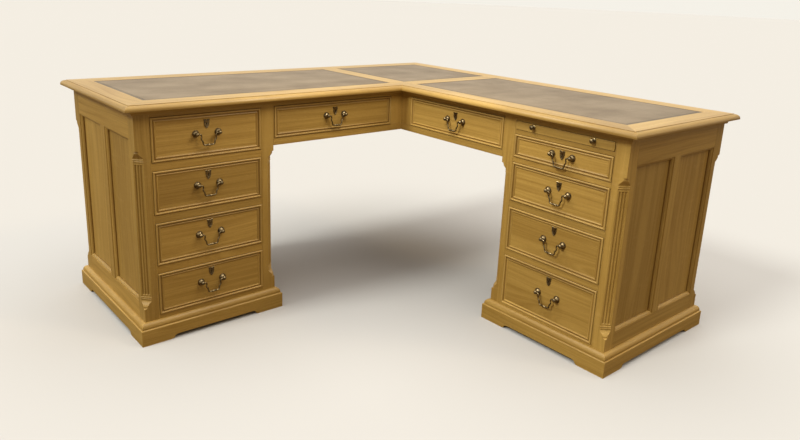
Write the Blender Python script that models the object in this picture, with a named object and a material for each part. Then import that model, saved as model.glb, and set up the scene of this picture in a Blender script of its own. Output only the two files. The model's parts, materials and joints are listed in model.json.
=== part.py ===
"""A corner desk in oak: an L-shaped top with three leather panels, carried by two pedestals of drawers
and by two aprons, each with a drawer of its own, that meet at the inside corner.

Metres, +Z up. The origin is on the floor, below the middle of the top's outline box. The left wing runs
along X with its drawers facing -Y, the right wing runs along Y with its drawers facing -X, and the
outside corner is at +X +Y.

Each wing is laid out in its own frame, which starts on the floor at the carcass's outer front corner:
"along" runs from the wing's outer end towards the corner of the desk, and "deep" runs from the drawer
fronts to the back.
"""

import math

import bmesh
import bpy
from mathutils import Matrix, Vector

# ---- the whole desk
LEFT_LENGTH = 1.690
RIGHT_LENGTH = 1.646
TOP_DEPTH = 0.641
TOP_HEIGHT = 0.780

# ---- fits
TOUCH = 0.0003  # between two pieces that are fixed face to face
SLIDE_GAP = 0.001  # round a drawer or a slide that has to run
PIN_GAP = 0.0004  # round a handle's pin, on the radius

# ---- the top
TOP_THICKNESS = 0.034
TOP_OVERHANG = 0.0335  # past the carcass, on every side
EDGE_INSET = 0.016  # from the edge's tip in to the flat of the border
EDGE_DROP = 0.0155  # from the flat of the border down to the edge's tip
EDGE_QUIRK = 0.0015
EDGE_FILLET = 0.003
COVE_START = 0.005
COVE_END = 0.0265
COVE_FOOT = 0.0015
BORDER_WIDTH = 0.087  # from the edge's tip in to the leather
CROSS_RAIL_WIDTH = 0.0725
CROSS_RAIL_THICKNESS = 0.012
LEATHER_THICKNESS = 0.0016
LEATHER_DEPTH = 0.0006  # the leather's face below the border's

# ---- pedestals
PEDESTAL_WIDTH = 0.473
POST_SIZE = 0.045
POST_CHAMFER = 0.0245
POST_EASING = 0.0006
TONGUE_LENGTH = 0.028
COLLAR_LENGTH = 0.0115
COLLAR_BULGE = 0.0016
OUTER_TONGUE_BELOW_TOP = 0.143  # from the desk's top down to where a post's corner starts to be cut away
INNER_TONGUE_BELOW_APRON = 0.018
FOOT_TONGUE_ABOVE_PLINTH = 0.043
FLUTE_COUNT = 3
FLUTE_RADIUS = 0.0031
FLUTE_PITCH = 0.0090
FLUTE_MARGIN = 0.007  # from a collar to the flutes' ends
PANEL_BOARD = 0.020
PANEL_TOP_RAIL = 0.078
PANEL_BOTTOM_RAIL = 0.057
PANEL_STILE = 0.003
PANEL_MUNTIN = 0.038
PANEL_MOULDING = 0.009
PANEL_STEP = 0.003
PANEL_RECESS = 0.013
PLINTH_HEIGHT = 0.074
PLINTH_FACE = 0.051  # height of the plinth's flat face, below its moulding
PLINTH_BEAD = 0.0035
PLINTH_PROJECTION = 0.020
PLINTH_WALL = 0.022
PLINTH_BOARD = 0.012
FOOT_LENGTH = 0.092
FOOT_OGEE = 0.030
FOOT_ARCH = 0.014

# ---- the frames that the drawers run in
FRAME_DEPTH = 0.066
FRAME_STILE = 0.003
TOP_RAIL = 0.010
LEFT_BOTTOM_RAIL = 0.0135
LEFT_RAILS = (0.0262, 0.0262, 0.0262)
LEFT_SHARES = (1.0, 1.0, 1.0, 1.0)
RIGHT_BOTTOM_RAIL = 0.0062
SLIDE_RAIL = 0.0145
SLIDE_HEIGHT = 0.028
RIGHT_RAILS = (0.0170, 0.0225, 0.0205)
RIGHT_SHARES = (78.5, 133.0, 153.0, 181.0)

# ---- drawers
FRONT_THICKNESS = 0.019
BEAD_PROUD = 0.003
BEAD_WIDTH = 0.0065
FIELD_INSET = 0.018
FIELD_DEPTH = 0.0015
BOX_DEPTH = 0.440
BOX_WALL = 0.011
BOX_BOTTOM = 0.006
BOX_BOTTOM_LIFT = 0.006
BOX_LIFT = 0.006  # from a front's lower edge up to its box
BOX_DROP = 0.012  # from a front's upper edge down to its box
RUNNER_HEIGHT = 0.009
RUNNER_REACH = 0.014  # of ledge below the box's side
GUIDE_HEIGHT = 0.030
RUNNER_ROOT = 0.003  # of a runner that is let into its board

# ---- the writing slide
SLIDE_LIP = 0.016
SLIDE_BOARD = 0.018
SLIDE_DEPTH = 0.470
SLIDE_LIP_PROUD = 0.002
SLIDE_KNOB_FROM_END = 0.072
SLIDE_KNOB_RISE = 0.004

# ---- aprons
APRON_HEIGHT = 0.144  # from its lower edge up to the top
APRON_BOARD = 0.020
APRON_DRAWER_BOTTOM = 0.0245  # from the apron's lower edge to its drawer's opening
APRON_TOP_RAIL = 0.008
APRON_END = 0.003  # from a pedestal to the opening
APRON_CORNER = 0.055  # from the opening to the inside corner
APRON_GUIDE = 0.0030

# ---- handles
HANDLE_SPACING = 0.077
HANDLE_RISE = 0.045  # of the posts above the middle of a front, as a share of its height
HANDLE_OFFSET = 0.0045  # of a handle from the middle of its front, towards the wing's outer end
BALL_RADIUS = 0.0065
BALL_PROUD = 0.012
BALL_SIDES = 10
ROSE_RADIUS = 0.011
ROSE_THICKNESS = 0.002
NECK_RADIUS = 0.0035
PIN_DEPTH = 0.004  # of a bail's pin inside its ball
BAIL_RADIUS = 0.0024
BAIL_DROP = 0.037
BAIL_SIDES_RESOLUTION = 1
KNOB_RADIUS = 0.008
KNOB_LENGTH = 0.016

# ---- what follows from the sizes above
CARCASS_DEPTH = TOP_DEPTH - 2 * TOP_OVERHANG
CARCASS_TOP = TOP_HEIGHT - TOP_THICKNESS
APRON_BOTTOM = CARCASS_TOP - APRON_HEIGHT
RAISED = PLINTH_HEIGHT + TOUCH  # the underside of what stands on a plinth
UNDER_TOP = CARCASS_TOP - TOUCH
BACK_OF_FRONT = FRONT_THICKNESS + TOUCH


class Wing:
    """One wing's frame: its empty, the sense of "along" on the empty's X, and its sizes."""

    def __init__(self, name, sense, length, corner, turn):
        self.name = name
        self.sense = sense
        self.inside_corner = length - TOP_DEPTH
        self.outside_corner = length - 2 * TOP_OVERHANG
        self.empty = bpy.data.objects.new(name + "_wing", None)
        self.empty.location = corner
        self.empty.rotation_euler = (0.0, 0.0, turn)
        bpy.context.scene.collection.objects.link(self.empty)


def clear_scene():
    for item in list(bpy.data.objects):
        bpy.data.objects.remove(item, do_unlink=True)


def material(name, colour, roughness, metallic=0.0):
    made = bpy.data.materials.new(name)
    made.use_nodes = True
    shader = made.node_tree.nodes["Principled BSDF"]
    shader.inputs["Base Color"].default_value = (*colour, 1.0)
    shader.inputs["Roughness"].default_value = roughness
    shader.inputs["Metallic"].default_value = metallic
    return made


# ---- shapes


def add_box(shape, low, high):
    """A box between two corners."""
    low, high = Vector(low), Vector(high)
    place = Matrix.Translation((low + high) / 2) @ Matrix.Diagonal((*(high - low), 1.0))
    bmesh.ops.create_cube(shape, size=1.0, matrix=place)


def add_loft(shape, loops, ring=False):
    """A skin over loops of equally many points: capped at both ends, or joined end to start."""
    rows = [[shape.verts.new(point) for point in loop] for loop in loops]
    pairs = list(zip(rows, rows[1:]))
    if ring:
        pairs.append((rows[-1], rows[0]))
    else:
        shape.faces.new(rows[0])
        shape.faces.new(rows[-1])
    for near, far in pairs:
        for i in range(len(near)):
            j = (i + 1) % len(near)
            shape.faces.new((near[i], near[j], far[j], far[i]))


def add_turned(shape, profile, sides, centre, axis="Y"):
    """A round piece from (radius, distance) points, turned about a line along axis through centre."""
    loops = []
    for radius, distance in profile:
        ring = []
        for i in range(sides):
            angle = 2 * math.pi * i / sides
            a, b = radius * math.cos(angle), radius * math.sin(angle)
            offset = (a, distance, b) if axis == "Y" else (distance, a, b)
            ring.append(Vector(centre) + Vector(offset))
        loops.append(ring)
    add_loft(shape, loops)


def rectangle(low, high, inset=0.0):
    """Four corners of a rectangle in its own plane, drawn in by inset."""
    return (
        (low[0] + inset, low[1] + inset),
        (high[0] - inset, low[1] + inset),
        (high[0] - inset, high[1] - inset),
        (low[0] + inset, high[1] - inset),
    )


def arc(centre, radii, start, end, steps):
    """Points on an ellipse's arc, from start to end in degrees."""
    turns = (math.radians(start + (end - start) * i / steps) for i in range(steps + 1))
    return [(centre[0] + radii[0] * math.cos(t), centre[1] + radii[1] * math.sin(t)) for t in turns]


def add_object(name, shape, finish, parent, location=(0.0, 0.0, 0.0), turn=0.0, sense=1, smooth=None):
    """A piece from a shape drawn round its own origin; sense -1 draws it the other way round along X."""
    bmesh.ops.scale(shape, vec=(sense, 1.0, 1.0), verts=shape.verts)
    bmesh.ops.recalc_face_normals(shape, faces=shape.faces)
    mesh = bpy.data.meshes.new(name)
    shape.to_mesh(mesh)
    shape.free()
    if smooth is not None:
        mesh.shade_smooth()
        mesh.set_sharp_from_angle(angle=math.radians(smooth))
    if finish is not None:
        mesh.materials.append(finish)
    made = bpy.data.objects.new(name, mesh)
    made.location = location
    made.rotation_euler = (0.0, 0.0, turn)
    made.parent = parent
    bpy.context.scene.collection.objects.link(made)
    return made


def combine(piece, name, shape, operation, sense=1):
    """Cuts a shape from a piece or joins it on; the shape is drawn in the piece's own frame."""
    tool = add_object(name, shape, None, piece, sense=sense)
    tool.hide_render = True
    tool.display_type = "WIRE"
    step = piece.modifiers.new(name, "BOOLEAN")
    step.operation = operation
    step.object = tool


# ---- the top


def top_outline(inset, height):
    """The top's L-shaped outline, drawn in by inset."""
    half_x, half_y = LEFT_LENGTH / 2, RIGHT_LENGTH / 2
    return [
        Vector(point)
        for point in (
            (-half_x + inset, half_y - inset, height),
            (-half_x + inset, half_y - TOP_DEPTH + inset, height),
            (half_x - TOP_DEPTH + inset, half_y - TOP_DEPTH + inset, height),
            (half_x - TOP_DEPTH + inset, -half_y + inset, height),
            (half_x - inset, -half_y + inset, height),
            (half_x - inset, half_y - inset, height),
        )
    ]


def edge_profile():
    """The border's section as (inset, depth below the top): a thumb, a fillet, a cove and a flat back."""
    thumb = arc((EDGE_INSET, -EDGE_DROP), (EDGE_INSET, EDGE_DROP - EDGE_QUIRK), 90, 180, 4)
    cove_top = -EDGE_DROP - EDGE_FILLET
    cove_low = -TOP_THICKNESS + COVE_FOOT
    cove = arc((COVE_START, cove_low), (COVE_END - COVE_START, cove_top - cove_low), 90, 0, 4)
    return (
        [(BORDER_WIDTH, 0.0), (EDGE_INSET, 0.0)]
        + thumb
        + [(0.0, cove_top)]
        + cove
        + [(COVE_END, -TOP_THICKNESS), (BORDER_WIDTH, -TOP_THICKNESS)]
    )


def cross_rail_boxes(width_gap, depth):
    """The two rails beside the corner panel, as (low, high) boxes that reach into the border."""
    half_x, half_y = LEFT_LENGTH / 2, RIGHT_LENGTH / 2
    near_x = half_x - TOP_DEPTH + BORDER_WIDTH
    near_y = half_y - TOP_DEPTH + BORDER_WIDTH
    root = BORDER_WIDTH / 2
    low, high = TOP_HEIGHT - depth, TOP_HEIGHT
    left = (
        (near_x - CROSS_RAIL_WIDTH - width_gap, near_y - root, low),
        (near_x + width_gap, half_y - BORDER_WIDTH + root, high),
    )
    right = (
        (near_x - root, near_y - CROSS_RAIL_WIDTH - width_gap, low),
        (half_x - BORDER_WIDTH + root, near_y + width_gap, high),
    )
    return left, right


def build_top(oak, leather):
    ring = bmesh.new()
    add_loft(ring, [top_outline(inset, TOP_HEIGHT + depth) for inset, depth in edge_profile()], ring=True)
    border = add_object("top_border", ring, oak, None, smooth=30)
    for side, (low, high) in zip(("left", "right"), cross_rail_boxes(0.0, CROSS_RAIL_THICKNESS)):
        rail = bmesh.new()
        add_box(rail, low, high)
        combine(border, side + "_cross_rail", rail, "UNION")

    core_top = TOP_HEIGHT - LEATHER_DEPTH - LEATHER_THICKNESS - TOUCH
    board = bmesh.new()
    core_inset = BORDER_WIDTH + TOUCH
    add_loft(board, [top_outline(core_inset, CARCASS_TOP), top_outline(core_inset, core_top)])
    core = add_object("top_core", board, oak, None)
    for side, (low, high) in zip(("left", "right"), cross_rail_boxes(TOUCH, CROSS_RAIL_THICKNESS + TOUCH)):
        housing = bmesh.new()
        add_box(housing, low, high)
        combine(core, side + "_rail_housing", housing, "DIFFERENCE")

    build_leathers(leather, core_top + TOUCH)


def build_leathers(leather, low):
    """Three panels laid between the border and the cross rails."""
    half_x, half_y = LEFT_LENGTH / 2, RIGHT_LENGTH / 2
    inner = BORDER_WIDTH + TOUCH
    near_x = half_x - TOP_DEPTH + inner
    near_y = half_y - TOP_DEPTH + inner
    far_x, far_y = half_x - inner, half_y - inner
    rail = CROSS_RAIL_WIDTH + 2 * TOUCH
    panels = {
        "leather_left": ((-half_x + inner, near_y), (near_x - rail, far_y)),
        "leather_corner": ((near_x, near_y), (far_x, far_y)),
        "leather_right": ((near_x, -half_y + inner), (far_x, near_y - rail)),
    }
    for name, (start, end) in panels.items():
        hide = bmesh.new()
        add_box(hide, (*start, low), (*end, low + LEATHER_THICKNESS))
        add_object(name, hide, leather, None)


# ---- pedestals


def tongue(start, end):
    """Heights and cuts of a lamb's tongue, from the square post at start to the full chamfer at end."""
    levels = []
    for share in (0.0, 0.25, 0.5, 0.75, 1.0):
        swell = (1 - math.cos(math.pi * share)) / 2
        levels.append((start + (end - start) * share, POST_EASING + (POST_CHAMFER - POST_EASING) * swell))
    return levels


def collar(start, end):
    """A bead across the chamfer: heights and cuts from start to end."""
    middle = (start + end) / 2
    return [(start, POST_CHAMFER), (middle, POST_CHAMFER - COLLAR_BULGE), (end, POST_CHAMFER)]


def build_post(wing, name, along, deep, sense_along, sense_deep, tongue_top, oak):
    """A square post whose outer corner is chamfered and fluted between two lamb's tongues."""
    tongue_low = RAISED + FOOT_TONGUE_ABOVE_PLINTH
    low_collar = tongue_low + TONGUE_LENGTH
    top_collar = tongue_top - TONGUE_LENGTH
    levels = [(RAISED, POST_EASING)]
    levels += tongue(tongue_low, low_collar)[:-1]
    levels += collar(low_collar, low_collar + COLLAR_LENGTH)
    levels += collar(top_collar - COLLAR_LENGTH, top_collar)
    levels += reversed(tongue(tongue_top, top_collar)[:-1])
    levels += [(UNDER_TOP, POST_EASING)]
    shape = bmesh.new()
    loops = []
    for height, cut in levels:
        section = ((cut, 0), (POST_SIZE, 0), (POST_SIZE, POST_SIZE), (0, POST_SIZE), (0, cut))
        loops.append([Vector((x * sense_along, y * sense_deep, height)) for x, y in section])
    add_loft(shape, loops)
    post = add_object(
        name, shape, oak, wing.empty, location=(wing.sense * along, deep, 0.0), sense=wing.sense, smooth=30
    )

    flutes = bmesh.new()
    flute_low = low_collar + COLLAR_LENGTH + FLUTE_MARGIN
    flute_top = top_collar - COLLAR_LENGTH - FLUTE_MARGIN
    for i in range(FLUTE_COUNT):
        across = (i - (FLUTE_COUNT - 1) / 2) * FLUTE_PITCH / math.sqrt(2)
        x = (POST_CHAMFER / 2 + across) * sense_along
        y = (POST_CHAMFER / 2 - across) * sense_deep
        ball = bmesh.ops.create_uvsphere(flutes, u_segments=8, v_segments=6, radius=FLUTE_RADIUS)
        for vert in ball["verts"]:
            height = flute_top - FLUTE_RADIUS if vert.co.z > 0 else flute_low + FLUTE_RADIUS
            vert.co += Vector((x, y, height))
    combine(post, name + "_flutes", flutes, "DIFFERENCE", sense=wing.sense)


def add_recess(shape, low, high):
    """The hollow of one panel, cut in from the face at y = 0: a step, a sloped moulding and the field."""
    steps = (
        (0.0, -PANEL_STEP),
        (0.0, PANEL_STEP),
        (PANEL_MOULDING * 0.7, PANEL_RECESS * 0.55),
        (PANEL_MOULDING, PANEL_RECESS * 0.6),
        (PANEL_MOULDING, PANEL_RECESS),
    )
    loops = [[Vector((x, deep, z)) for x, z in rectangle(low, high, inset)] for inset, deep in steps]
    add_loft(shape, loops)


def build_panelled(wing, name, width, location, turn, oak):
    """A framed board with two sunk panels, drawn about the middle of its face."""
    half = width / 2
    board = bmesh.new()
    add_box(board, (-half, 0.0, RAISED), (half, PANEL_BOARD, UNDER_TOP))
    piece = add_object(name, board, oak, wing.empty, location=location, turn=turn)
    hollows = bmesh.new()
    low, high = RAISED + PANEL_BOTTOM_RAIL, UNDER_TOP - PANEL_TOP_RAIL
    for start, end in ((-half + PANEL_STILE, -PANEL_MUNTIN / 2), (PANEL_MUNTIN / 2, half - PANEL_STILE)):
        add_recess(hollows, (start, low), (end, high))
    combine(piece, name + "_panels", hollows, "DIFFERENCE")
    return piece


def add_runner(shape, start, end, root, wall, ledge, base):
    """An L-shaped runner between y = start and end, whose guide is root..wall and whose ledge ends at ledge."""
    section = (
        (root, base),
        (ledge, base),
        (ledge, base + RUNNER_HEIGHT),
        (wall, base + RUNNER_HEIGHT),
        (wall, base + GUIDE_HEIGHT),
        (root, base + GUIDE_HEIGHT),
    )
    add_loft(shape, [[Vector((x, y, z)) for x, z in section] for y in (start, end)])


def build_side(wing, name, along, outward, runner_bases, oak):
    """A pedestal's panelled side with the runners of its drawers; outward is -1 at the wing's outer end."""
    facing = outward * wing.sense
    width = CARCASS_DEPTH - 2 * (POST_SIZE + TOUCH)
    side = build_panelled(
        wing,
        name,
        width,
        (wing.sense * along, CARCASS_DEPTH / 2, 0.0),
        facing * math.pi / 2,
        oak,
    )
    box_side = POST_SIZE + FRAME_STILE + TOUCH + 2 * SLIDE_GAP
    front_end = FRAME_DEPTH + TOUCH - CARCASS_DEPTH / 2
    back_end = width / 2
    runners = bmesh.new()
    for base in runner_bases:
        add_runner(
            runners,
            front_end,
            back_end,
            PANEL_BOARD - RUNNER_ROOT,
            box_side - SLIDE_GAP,
            box_side + RUNNER_REACH,
            base,
        )
    # drawn with "deep" on Y and the distance in from the face on X, then turned onto the board
    turn = Matrix(((0, facing, 0, 0), (1, 0, 0, 0), (0, 0, 1, 0), (0, 0, 0, 1)))
    bmesh.ops.transform(runners, matrix=turn, verts=runners.verts)
    combine(side, name + "_runners", runners, "UNION")


def plinth_profile():
    """(projection past the carcass, height) up the plinth's outer face: a flat, a bead and an ovolo."""
    bead = arc((PLINTH_PROJECTION - PLINTH_BEAD, PLINTH_FACE), (PLINTH_BEAD, PLINTH_BEAD), 0, 90, 3)
    ovolo_base = PLINTH_FACE + 2 * PLINTH_BEAD
    ovolo_reach = PLINTH_PROJECTION - 1.4 * PLINTH_BEAD
    ovolo = arc((0.0, ovolo_base), (ovolo_reach, PLINTH_HEIGHT - ovolo_base), 0, 90, 5)
    return [(PLINTH_PROJECTION, 0.0), *bead, *ovolo]


def add_arch(shape, start, end, across_low, across_high, axis):
    """The low arch between two feet: an ogee at each end, cut right through along axis."""
    half = FOOT_OGEE / 2
    rise = [
        (0.0, -FOOT_ARCH),
        (0.0, 0.0),
        (half * 0.55, FOOT_ARCH * 0.25),
        (half, FOOT_ARCH * 0.5),
        (half * 1.25, FOOT_ARCH * 0.85),
        (FOOT_OGEE, FOOT_ARCH),
    ]
    outline = [(start + x, z) for x, z in rise] + [(end - x, z) for x, z in reversed(rise)]
    loops = []
    for across in (across_low, across_high):
        if axis == "Y":
            loops.append([Vector((x, across, z)) for x, z in outline])
        else:
            loops.append([Vector((across, x, z)) for x, z in outline])
    add_loft(shape, loops)


def build_plinth(wing, name, oak):
    """A moulded plinth on four bracket feet, closed by the pedestal's bottom board."""
    low, high = (0.0, 0.0), (PEDESTAL_WIDTH, CARCASS_DEPTH)
    wall = PLINTH_WALL - PLINTH_PROJECTION
    under_board = PLINTH_HEIGHT - PLINTH_BOARD
    steps = [(wall, under_board), (wall, 0.0)]
    steps += [(-projection, height) for projection, height in plinth_profile()]
    loops = [[Vector((x, y, height)) for x, y in rectangle(low, high, inset)] for inset, height in steps]
    shape = bmesh.new()
    add_loft(shape, loops)
    plinth = add_object(name, shape, oak, wing.empty, sense=wing.sense, smooth=30)
    foot = FOOT_LENGTH - PLINTH_PROJECTION
    past = 2 * PLINTH_PROJECTION
    for axis, length, across in (("Y", PEDESTAL_WIDTH, CARCASS_DEPTH), ("X", CARCASS_DEPTH, PEDESTAL_WIDTH)):
        arch = bmesh.new()
        add_arch(arch, foot, length - foot, -past, across + past, axis)
        combine(plinth, name + "_arch_" + axis.lower(), arch, "DIFFERENCE", sense=wing.sense)


def stack(low, high, rails, shares):
    """Openings from the top one down, as (bottom, top), between rails of known height."""
    free = high - low - sum(rails)
    openings = []
    top = high
    for share, rail in zip(shares, (*rails, 0.0)):
        bottom = top - free * share / sum(shares)
        openings.append((bottom, top))
        top = bottom - rail
    return openings


def build_front_frame(wing, name, openings, oak):
    """The frame between a pedestal's front posts, with an opening for each drawer."""
    start, end = POST_SIZE + TOUCH, PEDESTAL_WIDTH - POST_SIZE - TOUCH
    board = bmesh.new()
    add_box(board, (start, 0.0, RAISED), (end, FRAME_DEPTH, UNDER_TOP))
    frame = add_object(name, board, oak, wing.empty, sense=wing.sense)
    holes = bmesh.new()
    for low, high in openings:
        add_box(
            holes,
            (start + FRAME_STILE, -FRAME_DEPTH, low),
            (end - FRAME_STILE, 2 * FRAME_DEPTH, high),
        )
    combine(frame, name + "_openings", holes, "DIFFERENCE", sense=wing.sense)


def build_pedestal(wing, openings, oak):
    """Posts, sides, back, front frame and plinth of one pedestal."""
    name = wing.name
    outer_tongue = TOP_HEIGHT - OUTER_TONGUE_BELOW_TOP
    inner_tongue = APRON_BOTTOM - INNER_TONGUE_BELOW_APRON
    for place, along, sense_along, top in (
        ("outer", 0.0, 1, outer_tongue),
        ("inner", PEDESTAL_WIDTH, -1, inner_tongue),
    ):
        for row, deep, sense_deep in (("front", 0.0, 1), ("back", CARCASS_DEPTH, -1)):
            build_post(wing, f"{name}_post_{row}_{place}", along, deep, sense_along, sense_deep, top, oak)
    bases = [bottom + BOX_LIFT - RUNNER_HEIGHT for bottom, _ in openings]
    build_side(wing, name + "_side_outer", 0.0, -1, bases, oak)
    build_side(wing, name + "_side_inner", PEDESTAL_WIDTH, 1, bases, oak)
    build_panelled(
        wing,
        name + "_back_panel",
        PEDESTAL_WIDTH - 2 * (POST_SIZE + TOUCH),
        (wing.sense * PEDESTAL_WIDTH / 2, CARCASS_DEPTH, 0.0),
        math.pi,
        oak,
    )
    build_front_frame(wing, name + "_front_frame", openings, oak)
    build_plinth(wing, name + "_plinth", oak)


# ---- drawers


def add_handle_posts(shape, middle, height):
    """Two turned posts, each a rose, a neck and a ball, let into the front's face."""
    ball = arc((-BALL_PROUD, 0.0), (BALL_RADIUS, BALL_RADIUS), 30, 165, 6)
    profile = [
        (ROSE_RADIUS * 0.6, FIELD_DEPTH + FRONT_THICKNESS / 3),
        (ROSE_RADIUS, FIELD_DEPTH + FRONT_THICKNESS / 3),
        (ROSE_RADIUS, FIELD_DEPTH - ROSE_THICKNESS),
        (NECK_RADIUS, FIELD_DEPTH - ROSE_THICKNESS * 1.6),
    ]
    profile += [(radius, distance) for distance, radius in ball]
    for side in (-1, 1):
        add_turned(shape, profile, BALL_SIDES, (middle + side * HANDLE_SPACING / 2, 0.0, height))


def bail_outline():
    """The bail's middle line in its own plane: pins, swan necks and a dropped grip."""
    reach = HANDLE_SPACING / 2 - BALL_RADIUS + PIN_DEPTH
    shoulder = HANDLE_SPACING / 2 - BALL_RADIUS - 2 * BAIL_RADIUS
    half = [
        (reach, 0.0),
        (shoulder, 0.0),
        (shoulder - 0.0030, -0.0025),
        (shoulder - 0.0035, -BAIL_DROP * 0.20),
        (shoulder - 0.0075, -BAIL_DROP * 0.42),
        (shoulder - 0.0080, -BAIL_DROP * 0.66),
        (shoulder - 0.0110, -BAIL_DROP * 0.88),
        (shoulder - 0.0170, -BAIL_DROP),
    ]
    return [(-x, z) for x, z in half] + [(x, z) for x, z in reversed(half)]


def build_bail(name, parent, middle, height, brass):
    """A bail as a bent rod, with its origin on the line through its two pins."""
    line = bpy.data.curves.new(name, "CURVE")
    line.dimensions = "3D"
    line.bevel_depth = BAIL_RADIUS
    line.bevel_resolution = BAIL_SIDES_RESOLUTION
    line.use_fill_caps = True
    points = bail_outline()
    spline = line.splines.new("POLY")
    spline.points.add(len(points) - 1)
    for point, (x, z) in zip(spline.points, points):
        point.co = (x, 0.0, z, 1.0)
    line.materials.append(brass)
    bail = bpy.data.objects.new(name, line)
    bail.location = (middle, -BALL_PROUD, height)
    bail.parent = parent
    bpy.context.scene.collection.objects.link(bail)


def build_front(name, parent, width, height, handle, oak):
    """A drawer front with a raised bead round a sunk field, and the two posts of a handle at (x, height)."""
    steps = (
        (0.0, FRONT_THICKNESS),
        (0.0, -BEAD_PROUD * 0.4),
        (BEAD_WIDTH * 0.25, -BEAD_PROUD),
        (BEAD_WIDTH * 0.75, -BEAD_PROUD),
        (BEAD_WIDTH, 0.0),
        (FIELD_INSET * 0.6, 0.0),
        (FIELD_INSET, FIELD_DEPTH),
    )
    low, high = (-width / 2, 0.0), (width / 2, height)
    shape = bmesh.new()
    add_loft(shape, [[Vector((x, deep, z)) for x, z in rectangle(low, high, inset)] for inset, deep in steps])
    front = add_object(name, shape, oak, parent)
    posts = bmesh.new()
    add_handle_posts(posts, *handle)
    combine(front, name + "_posts", posts, "UNION")
    pins = bmesh.new()
    hole_radius = BAIL_RADIUS + PIN_GAP
    inner_side = HANDLE_SPACING / 2 - BALL_RADIUS
    hole = ((hole_radius, inner_side - BALL_RADIUS), (hole_radius, inner_side + PIN_DEPTH + TOUCH))
    for side in (-1, 1):
        profile = [(radius, side * distance) for radius, distance in hole]
        add_turned(pins, profile, 8, (handle[0], -BALL_PROUD, handle[1]), axis="X")
    combine(front, name + "_pin_holes", pins, "DIFFERENCE")


def build_box(name, parent, width, height, oak):
    """An open drawer box with its bottom raised between the sides."""
    low, high = (-width / 2, BACK_OF_FRONT), (width / 2, BACK_OF_FRONT + BOX_DEPTH)
    bottom, top = BOX_LIFT, height - BOX_DROP
    floor = bottom + BOX_BOTTOM_LIFT
    steps = (
        (BOX_WALL, floor),
        (BOX_WALL, bottom),
        (0.0, bottom),
        (0.0, top),
        (BOX_WALL, top),
        (BOX_WALL, floor + BOX_BOTTOM),
    )
    shape = bmesh.new()
    add_loft(shape, [[Vector((x, y, level)) for x, y in rectangle(low, high, inset)] for inset, level in steps])
    add_object(name, shape, oak, parent)


def build_drawer(wing, name, start, end, opening, oak, lining, brass):
    """A front, a box and a bail, hung from an empty at the middle of the front's lower edge."""
    bottom, top = opening
    width = end - start - 2 * SLIDE_GAP
    height = top - bottom - 2 * SLIDE_GAP
    slide = bpy.data.objects.new(name + "_slide", None)
    slide.location = (wing.sense * (start + end) / 2, 0.0, bottom + SLIDE_GAP)
    slide.parent = wing.empty
    bpy.context.scene.collection.objects.link(slide)
    handle = (-wing.sense * HANDLE_OFFSET, height * (0.5 + HANDLE_RISE))
    build_front(name + "_front", slide, width, height, handle, oak)
    build_box(name + "_box", slide, width - 2 * SLIDE_GAP, height, lining)
    build_bail(name + "_bail", slide, *handle, brass)


def build_writing_slide(wing, name, opening, oak, brass):
    """A pull-out writing board with a front lip and two turned knobs, as wide as the drawers' boxes."""
    start = POST_SIZE + TOUCH + FRAME_STILE + 2 * SLIDE_GAP
    end = PEDESTAL_WIDTH - start
    bottom, top = opening[0] + SLIDE_GAP, opening[1] - SLIDE_GAP
    board_low = bottom + BOX_LIFT
    shape = bmesh.new()
    section = (
        (-SLIDE_LIP_PROUD, bottom),
        (SLIDE_LIP, bottom),
        (SLIDE_LIP, board_low),
        (SLIDE_DEPTH, board_low),
        (SLIDE_DEPTH, board_low + SLIDE_BOARD),
        (SLIDE_LIP, board_low + SLIDE_BOARD),
        (SLIDE_LIP, top),
        (-SLIDE_LIP_PROUD, top),
    )
    add_loft(shape, [[Vector((x, y, z)) for y, z in section] for x in (start, end)])
    add_object(name, shape, oak, wing.empty, sense=wing.sense)
    profile = (
        (KNOB_RADIUS * 0.7, 0.0),
        (KNOB_RADIUS * 0.5, -KNOB_LENGTH * 0.25),
        (KNOB_RADIUS * 0.95, -KNOB_LENGTH * 0.5),
        (KNOB_RADIUS, -KNOB_LENGTH * 0.7),
        (KNOB_RADIUS * 0.75, -KNOB_LENGTH * 0.92),
        (KNOB_RADIUS * 0.3, -KNOB_LENGTH),
    )
    places = (("outer", start + SLIDE_KNOB_FROM_END), ("inner", end - SLIDE_KNOB_FROM_END))
    for place, along in places:
        knob = bmesh.new()
        add_turned(knob, profile, BALL_SIDES, (0.0, 0.0, 0.0))
        add_object(
            f"{name}_knob_{place}",
            knob,
            brass,
            wing.empty,
            location=(wing.sense * along, -SLIDE_LIP_PROUD - TOUCH, (bottom + top) / 2 + SLIDE_KNOB_RISE),
            smooth=40,
        )


# ---- aprons


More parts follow.
